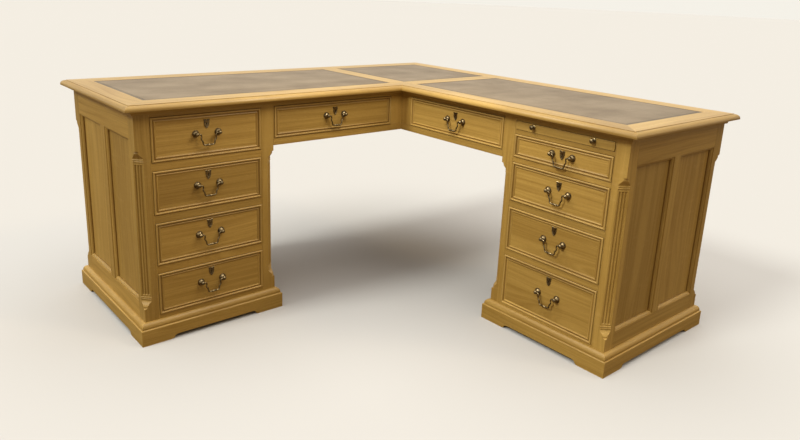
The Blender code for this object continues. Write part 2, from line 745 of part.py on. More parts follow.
def build_apron(wing, front_end, back_end, oak):
    """A wing's apron: its front board round the drawer's opening, and its back board with two runners."""
    name = wing.name + "_apron"
    start = PEDESTAL_WIDTH + TOUCH
    opening_start, opening_end = PEDESTAL_WIDTH + APRON_END, wing.inside_corner - APRON_CORNER
    opening = (APRON_BOTTOM + APRON_DRAWER_BOTTOM, CARCASS_TOP - APRON_TOP_RAIL)
    board = bmesh.new()
    add_box(board, (start, 0.0, APRON_BOTTOM), (front_end, APRON_BOARD, UNDER_TOP))
    front = add_object(name + "_front", board, oak, wing.empty, sense=wing.sense)
    hole = bmesh.new()
    add_box(
        hole,
        (opening_start, -APRON_BOARD, opening[0]),
        (opening_end, 2 * APRON_BOARD, opening[1]),
    )
    combine(front, name + "_opening", hole, "DIFFERENCE", sense=wing.sense)

    board = bmesh.new()
    back_face = CARCASS_DEPTH - APRON_BOARD
    add_box(board, (start, back_face, APRON_BOTTOM), (back_end, CARCASS_DEPTH, UNDER_TOP))
    back = add_object(name + "_back", board, oak, wing.empty, sense=wing.sense)
    base = opening[0] + BOX_LIFT - RUNNER_HEIGHT
    box_start, box_end = opening_start + 2 * SLIDE_GAP, opening_end - 2 * SLIDE_GAP
    runners = bmesh.new()
    for edge, inward in ((box_start, 1), (box_end, -1)):
        wall = edge - inward * SLIDE_GAP
        add_runner(
            runners,
            APRON_BOARD + TOUCH,
            back_face + RUNNER_ROOT,
            wall - inward * APRON_GUIDE,
            wall,
            edge + inward * RUNNER_REACH,
            base,
        )
    combine(back, name + "_runners", runners, "UNION", sense=wing.sense)
    return opening_start, opening_end, opening


def build():
    clear_scene()
    oak = material("oak", (0.50, 0.29, 0.10), 0.38)
    lining = material("drawer_lining", (0.62, 0.45, 0.25), 0.55)
    leather = material("leather", (0.30, 0.22, 0.14), 0.50)
    brass = material("antique_brass", (0.24, 0.16, 0.07), 0.35, 1.0)

    half_x, half_y = LEFT_LENGTH / 2, RIGHT_LENGTH / 2
    front_x = half_x - TOP_DEPTH + TOP_OVERHANG
    front_y = half_y - TOP_DEPTH + TOP_OVERHANG
    left = Wing("left", 1, LEFT_LENGTH, (-half_x + TOP_OVERHANG, front_y, 0.0), 0.0)
    right = Wing("right", -1, RIGHT_LENGTH, (front_x, -half_y + TOP_OVERHANG, 0.0), -math.pi / 2)

    build_top(oak, leather)

    opening_top = CARCASS_TOP - TOP_RAIL
    left_openings = stack(PLINTH_HEIGHT + LEFT_BOTTOM_RAIL, opening_top, LEFT_RAILS, LEFT_SHARES)
    slide_opening = (opening_top - SLIDE_HEIGHT - 2 * SLIDE_GAP, opening_top)
    right_openings = stack(
        PLINTH_HEIGHT + RIGHT_BOTTOM_RAIL, slide_opening[0] - SLIDE_RAIL, RIGHT_RAILS, RIGHT_SHARES
    )
    build_pedestal(left, left_openings, oak)
    build_pedestal(right, [slide_opening, *right_openings], oak)

    start = POST_SIZE + TOUCH + FRAME_STILE
    end = PEDESTAL_WIDTH - start
    for wing, openings in ((left, left_openings), (right, right_openings)):
        for i, opening in enumerate(openings, start=1):
            build_drawer(wing, f"{wing.name}_drawer_{i}", start, end, opening, oak, lining, brass)
    build_writing_slide(right, "right_writing_slide", slide_opening, oak, brass)

    # the left wing's boards run through at both corners, and the right wing's butt against them
    left_ends = (left.inside_corner + APRON_BOARD, left.outside_corner)
    right_ends = (right.inside_corner - TOUCH, right.outside_corner - APRON_BOARD - TOUCH)
    for wing, ends in ((left, left_ends), (right, right_ends)):
        opening_start, opening_end, opening = build_apron(wing, *ends, oak)
        name = wing.name + "_apron_drawer"
        build_drawer(wing, name, opening_start, opening_end, opening, oak, lining, brass)


build()
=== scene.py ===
"""The corner desk as it looks: oak boards with their own run of grain, tooled leather and antique brass.

Metres, +Z up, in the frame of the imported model. Each wing is drawn in its own frame, where X runs from the
wing's outer end towards the corner of the desk and -Y faces the room. The left wing's frame is the desk's
own, and the right wing's swaps X and Y.
"""

import json
import math
import random

import bmesh
import bpy
from mathutils import Matrix, Vector


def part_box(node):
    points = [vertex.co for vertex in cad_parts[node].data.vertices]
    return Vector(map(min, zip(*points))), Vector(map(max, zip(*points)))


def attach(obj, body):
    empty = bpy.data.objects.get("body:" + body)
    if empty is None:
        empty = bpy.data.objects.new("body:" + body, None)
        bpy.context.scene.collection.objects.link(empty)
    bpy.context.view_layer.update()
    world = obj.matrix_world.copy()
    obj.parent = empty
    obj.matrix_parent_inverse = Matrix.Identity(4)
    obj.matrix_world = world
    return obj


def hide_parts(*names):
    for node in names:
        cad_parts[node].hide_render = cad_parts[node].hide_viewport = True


bl_info = {
    "name": "Corner Desk",
    "version": (1, 0, 0),
    "blender": (4, 5, 0),
    "location": "3D View > Sidebar > Corner Desk",
    "description": "Builds an oak corner desk with leather panels and brass handles round its packed frame",
    "category": "Add Mesh",
}

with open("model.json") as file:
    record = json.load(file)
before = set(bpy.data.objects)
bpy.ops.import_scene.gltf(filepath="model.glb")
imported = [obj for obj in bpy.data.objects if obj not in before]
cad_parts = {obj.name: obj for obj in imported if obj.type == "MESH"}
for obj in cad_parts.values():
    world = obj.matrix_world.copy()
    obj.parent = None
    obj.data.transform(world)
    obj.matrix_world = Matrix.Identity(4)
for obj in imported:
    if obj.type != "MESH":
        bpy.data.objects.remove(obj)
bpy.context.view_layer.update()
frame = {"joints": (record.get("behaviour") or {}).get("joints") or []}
JOINTS = {joint["name"]: joint for joint in frame["joints"]}

SIDES = ("left", "right")
LEATHERS = ("leather_left", "leather_corner", "leather_right")
SWAP = Matrix(((0, 1, 0, 0), (1, 0, 0, 0), (0, 0, 1, 0), (0, 0, 0, 1)))
X, Y, Z = Vector((1, 0, 0)), Vector((0, 1, 0)), Vector((0, 0, 1))
EASE, FINE_EASE = 0.0007, 0.0004  # how far the edges of boards and of narrow strips are eased
JOINT = 0.0001  # left between boards that the CAD makes as one
MERGED = 0.00001  # points nearer than this are one

# ---- colours of the oak's marks: pores, flecks, old wax with painted shade, and rubbed wear with painted highlights
PORE_COLOUR = (0.20, 0.115, 0.035, 1.0)
FLECK_COLOUR = (0.74, 0.50, 0.20, 1.0)
WAX_AND_SHADE_COLOUR = (0.13, 0.06, 0.012, 1.0)
RUBBED_AND_HIGHLIGHT_COLOUR = (0.78, 0.54, 0.20, 1.0)

# ---- the room
ROOM_WARMTH = (1.0, 0.86, 0.66, 1.0)  # of the light that falls on the desk from all round
BACKDROP_STRENGTH = 0.93

# ---- the top
TOP_DEPTH = 0.641
TOP_THICKNESS = 0.034
EDGE_INSET = 0.016
EDGE_DROP = 0.0155
EDGE_QUIRK = 0.0015
EDGE_FILLET = 0.003
COVE_START = 0.005
COVE_END = 0.0265
COVE_FOOT = 0.0015
BORDER_WIDTH = 0.087
CROSS_RAIL_WIDTH = 0.0725
CROSS_RAIL_THICKNESS = 0.012
CORE_BOARDS = 4  # in the width of each wing
TOOLED_LINES = (0.0095, 0.0125)  # from a leather's edge in to its two tooled lines
TOOL_WIDTH = 0.0011
TOOL_DEPTH = 0.0003

# ---- pedestals
POST_CHAMFER = 0.0245
TONGUE_LENGTH = 0.028
TONGUE = (  # how far a post's corner is cut back, as (share along the tongue, share of the chamfer)
    (0.0, 0.03),
    (0.06, 0.22),
    (0.12, 0.42),
    (0.18, 0.44),
    (0.25, 0.36),
    (0.40, 0.44),
    (0.60, 0.66),
    (0.78, 0.88),
    (0.92, 0.985),
    (1.0, 1.0),
)
TONGUE_SHARES = (0.0, 0.03, 0.06, 0.09, 0.12, 0.15, 0.18, 0.21, 0.25)
TONGUE_SHARES += (0.32, 0.40, 0.50, 0.60, 0.69, 0.78, 0.85, 0.92, 1.0)
TONGUE_STEP = 0.0003
POST_EASING = 0.0006
COLLAR_LENGTH = 0.0115
COLLAR_RISE = 0.0019
COLLAR_SUNK = 0.0006
FOOT_TONGUE_ABOVE_PLINTH = 0.043
OUTER_TONGUE_BELOW_TOP = 0.143
INNER_TONGUE_BELOW_APRON = 0.018
FLUTE_RADIUS = 0.0033
FLUTE_PITCH = 0.0090
FLUTE_MARGIN = 0.006
FLUTE_LEAD = 0.001  # from the flutes' ends to the plain chamfer
# how dark the flutes' hollows are made: old wax and painted shade
FLUTE_WAX_AND_SHADE = 0.35
POST_COLUMNS = 36
PANEL_BOARD = 0.020
PANEL_TOP_RAIL = 0.078
PANEL_BOTTOM_RAIL = 0.057
PANEL_STILE = 0.003
PANEL_MUNTIN = 0.038
PANEL_RECESS = 0.013
PLINTH_HEIGHT = 0.074
PLINTH_FACE = 0.051
PLINTH_PROJECTION = 0.020
PLINTH_BEAD = 0.0035
PLINTH_WALL = 0.022
PLINTH_BOARD = 0.012
FOOT_LENGTH = 0.092
FOOT_OGEE = 0.030
FOOT_ARCH = 0.014
FRAME_STILE = 0.003
POST_SIZE = 0.045

# ---- drawers, aprons and the writing slide
FIXED_GAP = 0.0003
SLIDE_GAP = 0.001
FRONT_THICKNESS = 0.019
MOULDING_WIDTH = 0.018
FIELD_DEPTH = 0.0015
BOX_WALL = 0.011
BOX_BOTTOM = 0.006
BOX_BOTTOM_LIFT = 0.006
DOVETAIL_PITCH = 0.033
RUNNER_HEIGHT = 0.009
RUNNER_REACH = 0.014
GUIDE_HEIGHT = 0.030
BOX_LIFT = 0.006
APRON_BOTTOM = 0.602
APRON_BOARD = 0.020
SLIDE_BOARD = 0.018
SLIDE_BOARDS = 3
SLIDE_LIP = 0.018
SLIDE_LIFT = 0.006

# ---- brasses
HANDLE_SPACING = 0.077
BALL_PROUD = 0.012
BAIL_RADIUS = 0.0024
SHIELD_THICKNESS = 0.0013
SUNK = 0.0002  # how far a shield is let into its front
KNOB_FOOT = (  # a knob below its ball, as (share of its radius, share of its length)
    (0.0, 0.0),
    (0.98, 0.0),
    (0.98, 0.07),
    (0.85, 0.12),
    (0.55, 0.16),
    (0.45, 0.30),
    (0.5, 0.40),
)
SHIELD_RISE = {  # of a lock's shield above the middle of its drawer front
    "left_drawer_1": 0.037,
    "left_drawer_2": 0.038,
    "left_drawer_3": 0.039,
    "left_drawer_4": 0.038,
    "right_drawer_1": 0.006,
    "right_drawer_2": 0.028,
    "right_drawer_3": 0.044,
    "right_drawer_4": 0.058,
    "left_apron_drawer": 0.020,
    "right_apron_drawer": 0.020,
}
DRAWERS = tuple(SHIELD_RISE)
SHIELD = (  # a shield's outline, as (degrees from straight up, distance from its middle)
    (0, 0.0118),
    (18, 0.0144),
    (36, 0.0178),
    (46, 0.0138),
    (54, 0.0108),
    (90, 0.0086),
    (132, 0.0100),
    (159, 0.0128),
    (174, 0.0154),
    (180, 0.0172),
)


# ---- finishes


def node(tree, kind, wires=None, **values):
    """A shader node with its settings, and its inputs set to values or wired to sockets."""
    made = tree.nodes.new("ShaderNode" + kind)
    for key, value in values.items():
        setattr(made, key, value)
    for key, value in (wires or {}).items():
        if isinstance(value, bpy.types.NodeSocket):
            tree.links.new(value, made.inputs[key])
        else:
            made.inputs[key].default_value = value
    return made


def maths(tree, operation, first, second=0.0, clamp=False):
    made = node(tree, "Math", {0: first, 1: second}, operation=operation, use_clamp=clamp)
    return made.outputs[0]


def remap(tree, value, low, high, to_low=0.0, to_high=1.0):
    """A value between low and high brought to the range from to_low to to_high, and held there."""
    wires = {"Value": value, "From Min": low, "From Max": high, "To Min": to_low, "To Max": to_high}
    return node(tree, "MapRange", wires).outputs["Result"]


def blend(tree, share, first, second, how="MIX"):
    made = node(tree, "Mix", {"Factor": share}, data_type="RGBA", blend_type=how)
    for socket, value in ((made.inputs[6], first), (made.inputs[7], second)):
        if isinstance(value, bpy.types.NodeSocket):
            tree.links.new(value, socket)
        else:
            socket.default_value = value
    return made.outputs[2]


def speckle(tree, vector, scale, detail=2.0, roughness=0.5):
    """Noise over a vector whose parts are first multiplied by scale."""
    stretched = node(tree, "VectorMath", {0: vector, 1: scale}, operation="MULTIPLY").outputs[0]
    wires = {"Vector": stretched, "Scale": 1.0, "Detail": detail, "Roughness": roughness}
    return node(tree, "TexNoise", wires).outputs["Fac"]


def new_finish(name, roughness, metallic=0.0):
    made = bpy.data.materials.new(name)
    made.use_nodes = True
    shader = made.node_tree.nodes["Principled BSDF"]
    shader.inputs["Roughness"].default_value = roughness
    shader.inputs["Metallic"].default_value = metallic
    return made, made.node_tree, shader


def weigh(tree, *terms):
    """The sum of (value, weight) terms, held between 0 and 1."""
    total = 0.0
    for value, weight in terms:
        total = maths(tree, "ADD", total, maths(tree, "MULTIPLY", value, weight), clamp=True)
    return total


def coat(tree, shader, colour, share, roughness, bump):
    """Gives a finish its colour, (low, high) roughness by share and (strength, depth, height) bump."""
    tree.links.new(colour, shader.inputs["Base Color"])
    tree.links.new(remap(tree, share, 0.0, 1.0, *roughness), shader.inputs["Roughness"])
    raised = node(tree, "Bump", dict(zip(("Strength", "Distance", "Height"), bump)))
    tree.links.new(raised.outputs[0], shader.inputs["Normal"])


def rgba(colour):
    return (*colour[:3], 1.0)


def wood(name, light, dark, roughness, wax):
    """Oak sawn from a log: rings round a far centre, open pores, silky flecks and a tone for each board."""
    made, tree, shader = new_finish(name, roughness)
    grain = node(tree, "Attribute", attribute_name="grain").outputs["Vector"]
    tone, stain_and_painted_light = (node(tree, "Attribute", attribute_name=name).outputs["Fac"] for name in ("tone", "stain_and_painted_light"))
    run, across, deep = node(tree, "SeparateXYZ", {0: grain}).outputs
    wander = remap(tree, speckle(tree, grain, (1.3, 6.0, 6.0), 2.0), 0.25, 0.75, -0.022, 0.022)
    shifted = node(tree, "CombineXYZ", {1: maths(tree, "ADD", across, wander), 2: deep}).outputs[0]
    radius = node(tree, "VectorMath", {0: shifted}, operation="LENGTH").outputs["Value"]
    ringed = node(tree, "CombineXYZ", {0: run, 1: radius, 2: deep}).outputs[0]
    figure = remap(tree, speckle(tree, ringed, (1.6, 85.0, 0.0), 3.0, 0.6), 0.3, 0.7)
    rings = remap(tree, speckle(tree, ringed, (5.0, 420.0, 0.0), 2.0, 0.55), 0.35, 0.72)
    pores = remap(tree, speckle(tree, grain, (90.0, 1900.0, 1900.0), 1.0), 0.60, 0.68)
    flecks = remap(tree, speckle(tree, grain, (70.0, 22.0, 300.0), 1.0), 0.60, 0.72)
    cloud = remap(tree, speckle(tree, grain, (1.1, 3.0, 3.0), 2.0), 0.3, 0.7)

    share = weigh(tree, (figure, 0.58), (rings, 0.26), (cloud, 0.34))
    colour = blend(tree, share, rgba(light), rgba(dark))
    colour = blend(tree, maths(tree, "MULTIPLY", pores, 0.34), colour, PORE_COLOUR)
    colour = blend(tree, maths(tree, "MULTIPLY", flecks, 0.07), colour, FLECK_COLOUR)
    level = remap(tree, tone, 0.0, 1.0, 0.86, 1.08)
    levels = node(tree, "CombineColor", {0: level, 1: level, 2: level}).outputs[0]
    colour = blend(tree, 1.0, colour, levels, "MULTIPLY")
    # above 0 the mark darkens the oak: old wax and dark pins, and painted shade in quirks and hollows
    colour = blend(tree, maths(tree, "MULTIPLY", stain_and_painted_light, 0.58, clamp=True), colour, WAX_AND_SHADE_COLOUR)
    # below 0 the mark lightens the oak: rubbed wear with a painted highlight
    colour = blend(tree, maths(tree, "MULTIPLY", stain_and_painted_light, -0.3, clamp=True), colour, RUBBED_AND_HIGHLIGHT_COLOUR)
    height = maths(tree, "SUBTRACT", maths(tree, "MULTIPLY", rings, 0.3), pores)
    coat(tree, shader, colour, share, (roughness - 0.05, roughness + 0.06), (0.22, 0.0003, height))
    shader.inputs["Specular IOR Level"].default_value = 0.36
    shader.inputs["Coat Weight"].default_value = wax
    shader.inputs["Coat Roughness"].default_value = 0.28
    return made


def hide(name, light, dark, roughness):
    """Leather with a soft mottle and a fine pebbled grain."""
    made, tree, shader = new_finish(name, roughness)
    place = node(tree, "TexCoord").outputs["Object"]
    mottle = remap(tree, speckle(tree, place, (5.0, 5.0, 5.0), 5.0, 0.6), 0.36, 0.64)
    streaks = remap(tree, speckle(tree, place, (2.2, 13.0, 5.0), 3.0, 0.55), 0.3, 0.7)
    fine = speckle(tree, place, (260.0, 260.0, 260.0), 3.0, 0.6)
    share = weigh(tree, (mottle, 0.58), (streaks, 0.3), (fine, 0.25))
    wires = {"Vector": place, "Scale": 620.0, "Randomness": 1.0}
    pebbles = node(tree, "TexVoronoi", wires, feature="SMOOTH_F1").outputs["Distance"]
    height = maths(tree, "ADD", pebbles, maths(tree, "MULTIPLY", fine, 0.6))
    colour = blend(tree, share, rgba(light), rgba(dark))
    coat(tree, shader, colour, share, (roughness - 0.06, roughness + 0.08), (0.35, 0.0004, height))
    return made


def metal(name, bright, dark, roughness):
    """Antiqued brass: dark in the hollows of its patina and rubbed in between."""
    made, tree, shader = new_finish(name, roughness, 1.0)
    place = node(tree, "TexCoord").outputs["Object"]
    patina = remap(tree, speckle(tree, place, (170.0, 170.0, 170.0), 3.0, 0.6), 0.36, 0.66)
    rubs = remap(tree, speckle(tree, place, (900.0, 900.0, 250.0), 2.0), 0.3, 0.7)
    share = weigh(tree, (patina, 0.75), (rubs, 0.25))
    colour = blend(tree, share, rgba(bright), rgba(dark))
    coat(tree, shader, colour, share, (roughness - 0.08, roughness + 0.14), (0.12, 0.0002, rubs))
    return made


def finish(name):
    """One of the desk's finishes, made the first time it is asked for."""
    label = name + "_finish"
    if label in bpy.data.materials:
        return bpy.data.materials[label]
    settings = bpy.context.scene.corner_desk
    if name == "oak":
        return wood(label, settings.oak_light, settings.oak_dark, 0.40, settings.wax)
    if name == "drawer_lining":
        return wood(label, settings.lining_light, settings.lining_dark, 0.62, 0.0)
    if name == "leather":
        return hide(label, settings.leather_light, settings.leather_dark, 0.46)
    if name == "tooled_leather":
        light = [part * 0.62 for part in settings.leather_light]
        dark = [part * 0.55 for part in settings.leather_dark]
        return hide(label, light, dark, 0.50)
    if name == "antique_brass":
        return metal(label, settings.brass_bright, settings.brass_dark, 0.30)
    return metal(label, (0.03, 0.022, 0.014), (0.012, 0.009, 0.006), 0.7)


# ---- shapes


def arc(centre, radii, start, end, steps):
    """Points on an ellipse's arc, from start to end in degrees."""
    turns = (math.radians(start + (end - start) * i / steps) for i in range(steps + 1))
    return [(centre[0] + radii[0] * math.cos(t), centre[1] + radii[1] * math.sin(t)) for t in turns]


def axes(origin, run, across, height):
    """The place whose X, Y and Z lie along run, across and height."""
    place = Matrix((run, across, height)).transposed().to_4x4()
    place.translation = origin
    return place


def local_box(name, side):
    """A CAD node's box in its wing's frame."""
    low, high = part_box(name)
    return (low, high) if side == "left" else (SWAP @ low, SWAP @ high)


def box_matrix(low, high):
    """The transform that brings a unit cube to the box from low to high."""
    return Matrix.Translation((low + high) / 2) @ Matrix.Diagonal((*(high - low), 1.0))


def put_in_scene(name, data):
    made = bpy.data.objects.new(name, data)
    bpy.context.scene.collection.objects.link(made)
    return made


class Piece:
    """A piece on the bench: boards, mouldings and turnings in one mesh, each with its own run of grain."""

    def __init__(self, name, side="left"):
        self.name = name
        self.side = side
        self.shape = bmesh.new()
        layers = self.shape.verts.layers
        self.grain = layers.float_vector.new("grain")
        self.tone = layers.float.new("tone")
        # per point: above 0 darker, from old wax, darker dovetail pins and painted shade; below 0 lighter,
        # from rubbing and painted highlights
        self.stain_and_painted_light = layers.float.new("stain_and_painted_light")
        self.point = layers.int.new("point")
        self.chance = random.Random(name)
        self.finishes = []

    def fresh(self):
        """The points drawn since the last settling."""
        return [vert for vert in self.shape.verts if vert[self.tone] == 0.0]

    def settle(self, finish_name, grain=0, place=None):
        """Gives what was just drawn its finish and its grain along axis grain, then moves it to its place."""
        if finish_name not in self.finishes:
            self.finishes.append(finish_name)
        slot = self.finishes.index(finish_name)
        fresh = self.fresh()
        chance = self.chance
        centre = sum((vert.co for vert in fresh), Vector()) / len(fresh)
        heart = Vector((chance.uniform(0, 4), chance.uniform(-0.09, 0.09), chance.choice((-1, 1))))
        heart.z *= chance.uniform(0.02, 0.12)
        tone = chance.uniform(0.05, 1.0)
        others = [i for i in range(3) if i != grain]
        for vert in fresh:
            offset = vert.co - centre
            vert[self.grain] = Vector((offset[grain], offset[others[0]], offset[others[1]])) + heart
            vert[self.tone] = tone
        for face in {face for vert in fresh for face in vert.link_faces}:
            face.material_index = slot
        if place is not None:
            bmesh.ops.transform(self.shape, matrix=place, verts=fresh)

    def box(self, low, high, finish_name="oak", grain=0, ease=EASE, place=None):
        """A board with eased edges."""
        made = bmesh.ops.create_cube(self.shape, size=1.0, matrix=box_matrix(Vector(low), Vector(high)))
        if ease:
            edges = list({edge for vert in made["verts"] for edge in vert.link_edges})
            bmesh.ops.bevel(
                self.shape,
                geom=edges,
                offset=ease,
                offset_type="OFFSET",
                segments=2,
                profile=0.5,
                affect="EDGES",
                material=-1,
            )
        self.settle(finish_name, grain, place)

    def grow(self, sections, stain_and_painted_light=None):
        """A closed body drawn out from its first section through all the others, point for point."""
        first = [self.shape.verts.new(point) for point in sections[0]]
        for i, vert in enumerate(first):
            vert[self.point] = i
            vert[self.stain_and_painted_light] = stain_and_painted_light(0, i) if stain_and_painted_light else 0.0
        face = self.shape.faces.new(first)
        for row, section in enumerate(sections[1:], start=1):
            made = bmesh.ops.extrude_face_region(self.shape, geom=[face, *face.edges])["geom"]
            face = next(item for item in made if isinstance(item, bmesh.types.BMFace))
            for vert in face.verts:
                vert.co = section[vert[self.point]]
                vert[self.stain_and_painted_light] = stain_and_painted_light(row, vert[self.point]) if stain_and_painted_light else 0.0

    def strip(self, profile, length, mitres, place, marks):
        """A moulding of (across, height) points, mitred at each end by so much per unit across.

        Marks are by point: above 0 it is darkened by old wax and painted shade, and below 0 it is lightened
        by rubbing and a painted highlight.
        """
        sections = [
            [Vector((mitres[0] * a, a, h)) for a, h in profile],
            [Vector((length - mitres[1] * a, a, h)) for a, h in profile],
        ]
        self.grow(sections, lambda row, i: marks.get(i, 0.0))
        self.settle("oak", 0, place)

    def surround(self, profile, low, high, face, marks):
        """Four mitred strips round a rectangle in X and Z that faces -Y; face is its Y."""
        width, height = high[0] - low[0], high[1] - low[1]
        for x, z, run, across, length in (
            (low[0], low[1], X, Z, width),
            (low[0], high[1], X, -Z, width),
            (low[0], low[1], Z, X, height),
            (high[0], low[1], Z, -X, height),
        ):
            self.strip(profile, length, (1, 1), axes(Vector((x, face, z)), run, across, -Y), marks)

    def turned(self, profile, place, finish_name, steps=24):
        """A turning from (radius, height) points that start and end on the axis."""
        verts = [self.shape.verts.new((radius, 0.0, height)) for radius, height in profile]
        edges = [self.shape.edges.new(pair) for pair in zip(verts, verts[1:])]
        bmesh.ops.spin(
            self.shape,
            geom=verts + edges,
            cent=(0, 0, 0),
            axis=(0, 0, 1),
            dvec=(0, 0, 0),
            angle=2 * math.pi,
            steps=steps,
            use_merge=True,
        )
        bmesh.ops.remove_doubles(self.shape, verts=self.fresh(), dist=MERGED)
        self.settle(finish_name, 2, place)

    def rings(self, loops, place, finish_name):
        """A ring-shaped body: each loop is drawn out into the next, and the last back into the first."""
        first = [self.shape.verts.new(point) for point in loops[0]]
        for i, vert in enumerate(first):
            vert[self.point] = i
        edges = [self.shape.edges.new((first[i - 1], first[i])) for i in range(len(first))]
        for loop in loops[1:] + loops[:1]:
            made = bmesh.ops.extrude_edge_only(self.shape, edges=edges)["geom"]
            edges = [item for item in made if isinstance(item, bmesh.types.BMEdge)]
            for vert in {vert for edge in edges for vert in edge.verts}:
                vert.co = loop[vert[self.point]]
        bmesh.ops.remove_doubles(self.shape, verts=self.fresh(), dist=MERGED)
        self.settle(finish_name, 0, place)

    def done(self, body, stands_for, smooth=20.0):
        """Puts the piece in the scene, riding on its body and standing for its CAD nodes."""
        if self.side == "right":
            bmesh.ops.transform(self.shape, matrix=SWAP, verts=self.shape.verts)
        bmesh.ops.recalc_face_normals(self.shape, faces=self.shape.faces)
        limit = math.radians(smooth)
        for edge in self.shape.edges:
            edge.smooth = edge.calc_face_angle(math.pi) < limit
        for face in self.shape.faces:
            face.smooth = True
        mesh = bpy.data.meshes.new(self.name)
        self.shape.to_mesh(mesh)
        self.shape.free()
        for name in self.finishes:
            mesh.materials.append(finish(name))
        made = put_in_scene(self.name, mesh)
        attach(made, body)
        if stands_for:
            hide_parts(*stands_for)


# ---- the top


def edge_profile():
    """The border's section as (in from the tip, up from its top): a thumb, a fillet, a cove and a back."""
    thumb = arc((EDGE_INSET, -EDGE_DROP), (EDGE_INSET, EDGE_DROP - EDGE_QUIRK), 90, 180, 9)
    cove_top = -EDGE_DROP - EDGE_FILLET
    cove_low = -TOP_THICKNESS + COVE_FOOT
    cove = arc((COVE_START, cove_low), (COVE_END - COVE_START, cove_top - cove_low), 90, 0, 9)
    guard = 0.001
    return (
        [(BORDER_WIDTH, -guard), (BORDER_WIDTH - guard, 0.0), (EDGE_INSET + 0.6 * guard, 0.0)]
        + [(EDGE_INSET, -0.3 * guard)]
        + thumb
        + [(0.0, cove_top)]
        + cove
        + [(COVE_END, -TOP_THICKNESS), (BORDER_WIDTH, -TOP_THICKNESS)]
    )


def build_border():
    """Six mitred lengths of moulded border and the two cross rails beside the corner panel."""
    low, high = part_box("top_border")
    piece = Piece("top_border_boards")
    profile = edge_profile()
    # dark marks in the quirk above the thumb and under it: old wax with painted shade
    marks = {3: 0.55, 4: 0.55, 13: 0.5, 14: 0.5}
    inner = (high.x - TOP_DEPTH, high.y - TOP_DEPTH)
    for x, y, run, across, length, mitres in (
        (low.x, inner[1], X, Y, inner[0] - low.x, (1, -1)),
        (inner[0], low.y, Y, X, inner[1] - low.y, (1, -1)),
        (inner[0], low.y, X, Y, TOP_DEPTH, (1, 1)),
        (high.x, low.y, Y, -X, high.y - low.y, (1, 1)),
        (low.x, high.y, X, -Y, high.x - low.x, (1, 1)),
        (low.x, inner[1], Y, X, TOP_DEPTH, (1, 1)),
    ):
        piece.strip(profile, length, mitres, axes(Vector((x, y, high.z)), run, across, Z), marks)
    near_x, near_y = inner[0] + BORDER_WIDTH, inner[1] + BORDER_WIDTH
    rail_low = high.z - CROSS_RAIL_THICKNESS
    piece.box(
        (near_x - CROSS_RAIL_WIDTH, near_y + JOINT, rail_low),
        (near_x, high.y - BORDER_WIDTH - JOINT, high.z),
        grain=1,
    )
    piece.box(
        (near_x + JOINT, near_y - CROSS_RAIL_WIDTH, rail_low),
        (high.x - BORDER_WIDTH - JOINT, near_y, high.z),
        grain=0,
    )
    piece.done("desk", ["top_border"])


def build_core():
    """The boards under the leathers, laid side by side along each wing."""
    low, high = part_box("top_core")
    piece = Piece("top_core_boards")
    inner = (high.x - TOP_DEPTH + 2 * BORDER_WIDTH, high.y - TOP_DEPTH + 2 * BORDER_WIDTH)
    top = high.z - CROSS_RAIL_THICKNESS
    width = (high.y - inner[1]) / CORE_BOARDS
    for i in range(CORE_BOARDS):
        start = inner[1] + i * width
        piece.box((low.x, start, low.z), (high.x, start + width, top), grain=0)
    width = (high.x - inner[0]) / CORE_BOARDS
    for i in range(CORE_BOARDS):
        start = inner[0] + i * width
        piece.box((start, low.y, low.z), (start + width, inner[1], top), grain=1)
    for name in LEATHERS:
        ground_low, ground_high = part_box(name)
        piece.box((*ground_low.xy, top), (*ground_high.xy, ground_low.z - JOINT), ease=0.0)
    piece.done("desk", ["top_core"])


def build_leather(name):
    """A hide laid in its recess, with a pair of tooled lines round its edge."""
    low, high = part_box(name)
    piece = Piece(name + "_hide")
    made = bmesh.ops.create_cube(piece.shape, size=1.0, matrix=box_matrix(low, high))
    faces = [face for vert in made["verts"] for face in vert.link_faces]
    top = max(faces, key=lambda face: face.calc_center_median().z)
    edge = 0.0
    steps = []
    for line in TOOLED_LINES:
        steps += [(line - edge, 0.0), (TOOL_WIDTH / 2, -TOOL_DEPTH), (TOOL_WIDTH / 2, TOOL_DEPTH)]
        edge = line + TOOL_WIDTH
    bands = []
    for thickness, depth in steps:
        made = bmesh.ops.inset_region(
            piece.shape, faces=[top], thickness=thickness, depth=depth, use_even_offset=True
        )
        bands.append(made["faces"])
    piece.settle("leather")
    piece.finishes.append("tooled_leather")
    for i in (0, 1, 2, 4, 5):
        for face in bands[i]:
            face.material_index = 1
    piece.done("desk", [name], smooth=20)


# ---- pedestals


def tongue_cut(share):
    """How far a post's corner is cut back along a lamb's tongue, from the notch at 0 to the collar at 1."""
    for (a, low), (b, high) in zip(TONGUE, TONGUE[1:]):
        if share <= b:
            return POST_CHAMFER * (low + (high - low) * (share - a) / (b - a))
    return POST_CHAMFER


def collar(start):
    """The levels of a collar's two beads."""
    bead = COLLAR_LENGTH / 2
    for i in range(2):
        for step in range(9):
            turn = math.pi * step / 8
            height = start + bead * i + bead * (1 - math.cos(turn)) / 2
            rise = COLLAR_RISE * math.sin(turn) - COLLAR_SUNK
            yield height + 2 * MERGED * (step == 0), POST_CHAMFER, rise, 0.0


def flute_end(height, way, steps):
    """The levels of the flutes' rounded end at a height, running up for a way of 1 and down for -1."""
    for step in steps:
        turn = math.pi / 2 * step / 6
        yield height + way * FLUTE_RADIUS * (1 - math.cos(turn)), POST_CHAMFER, 0.0, math.sin(turn)


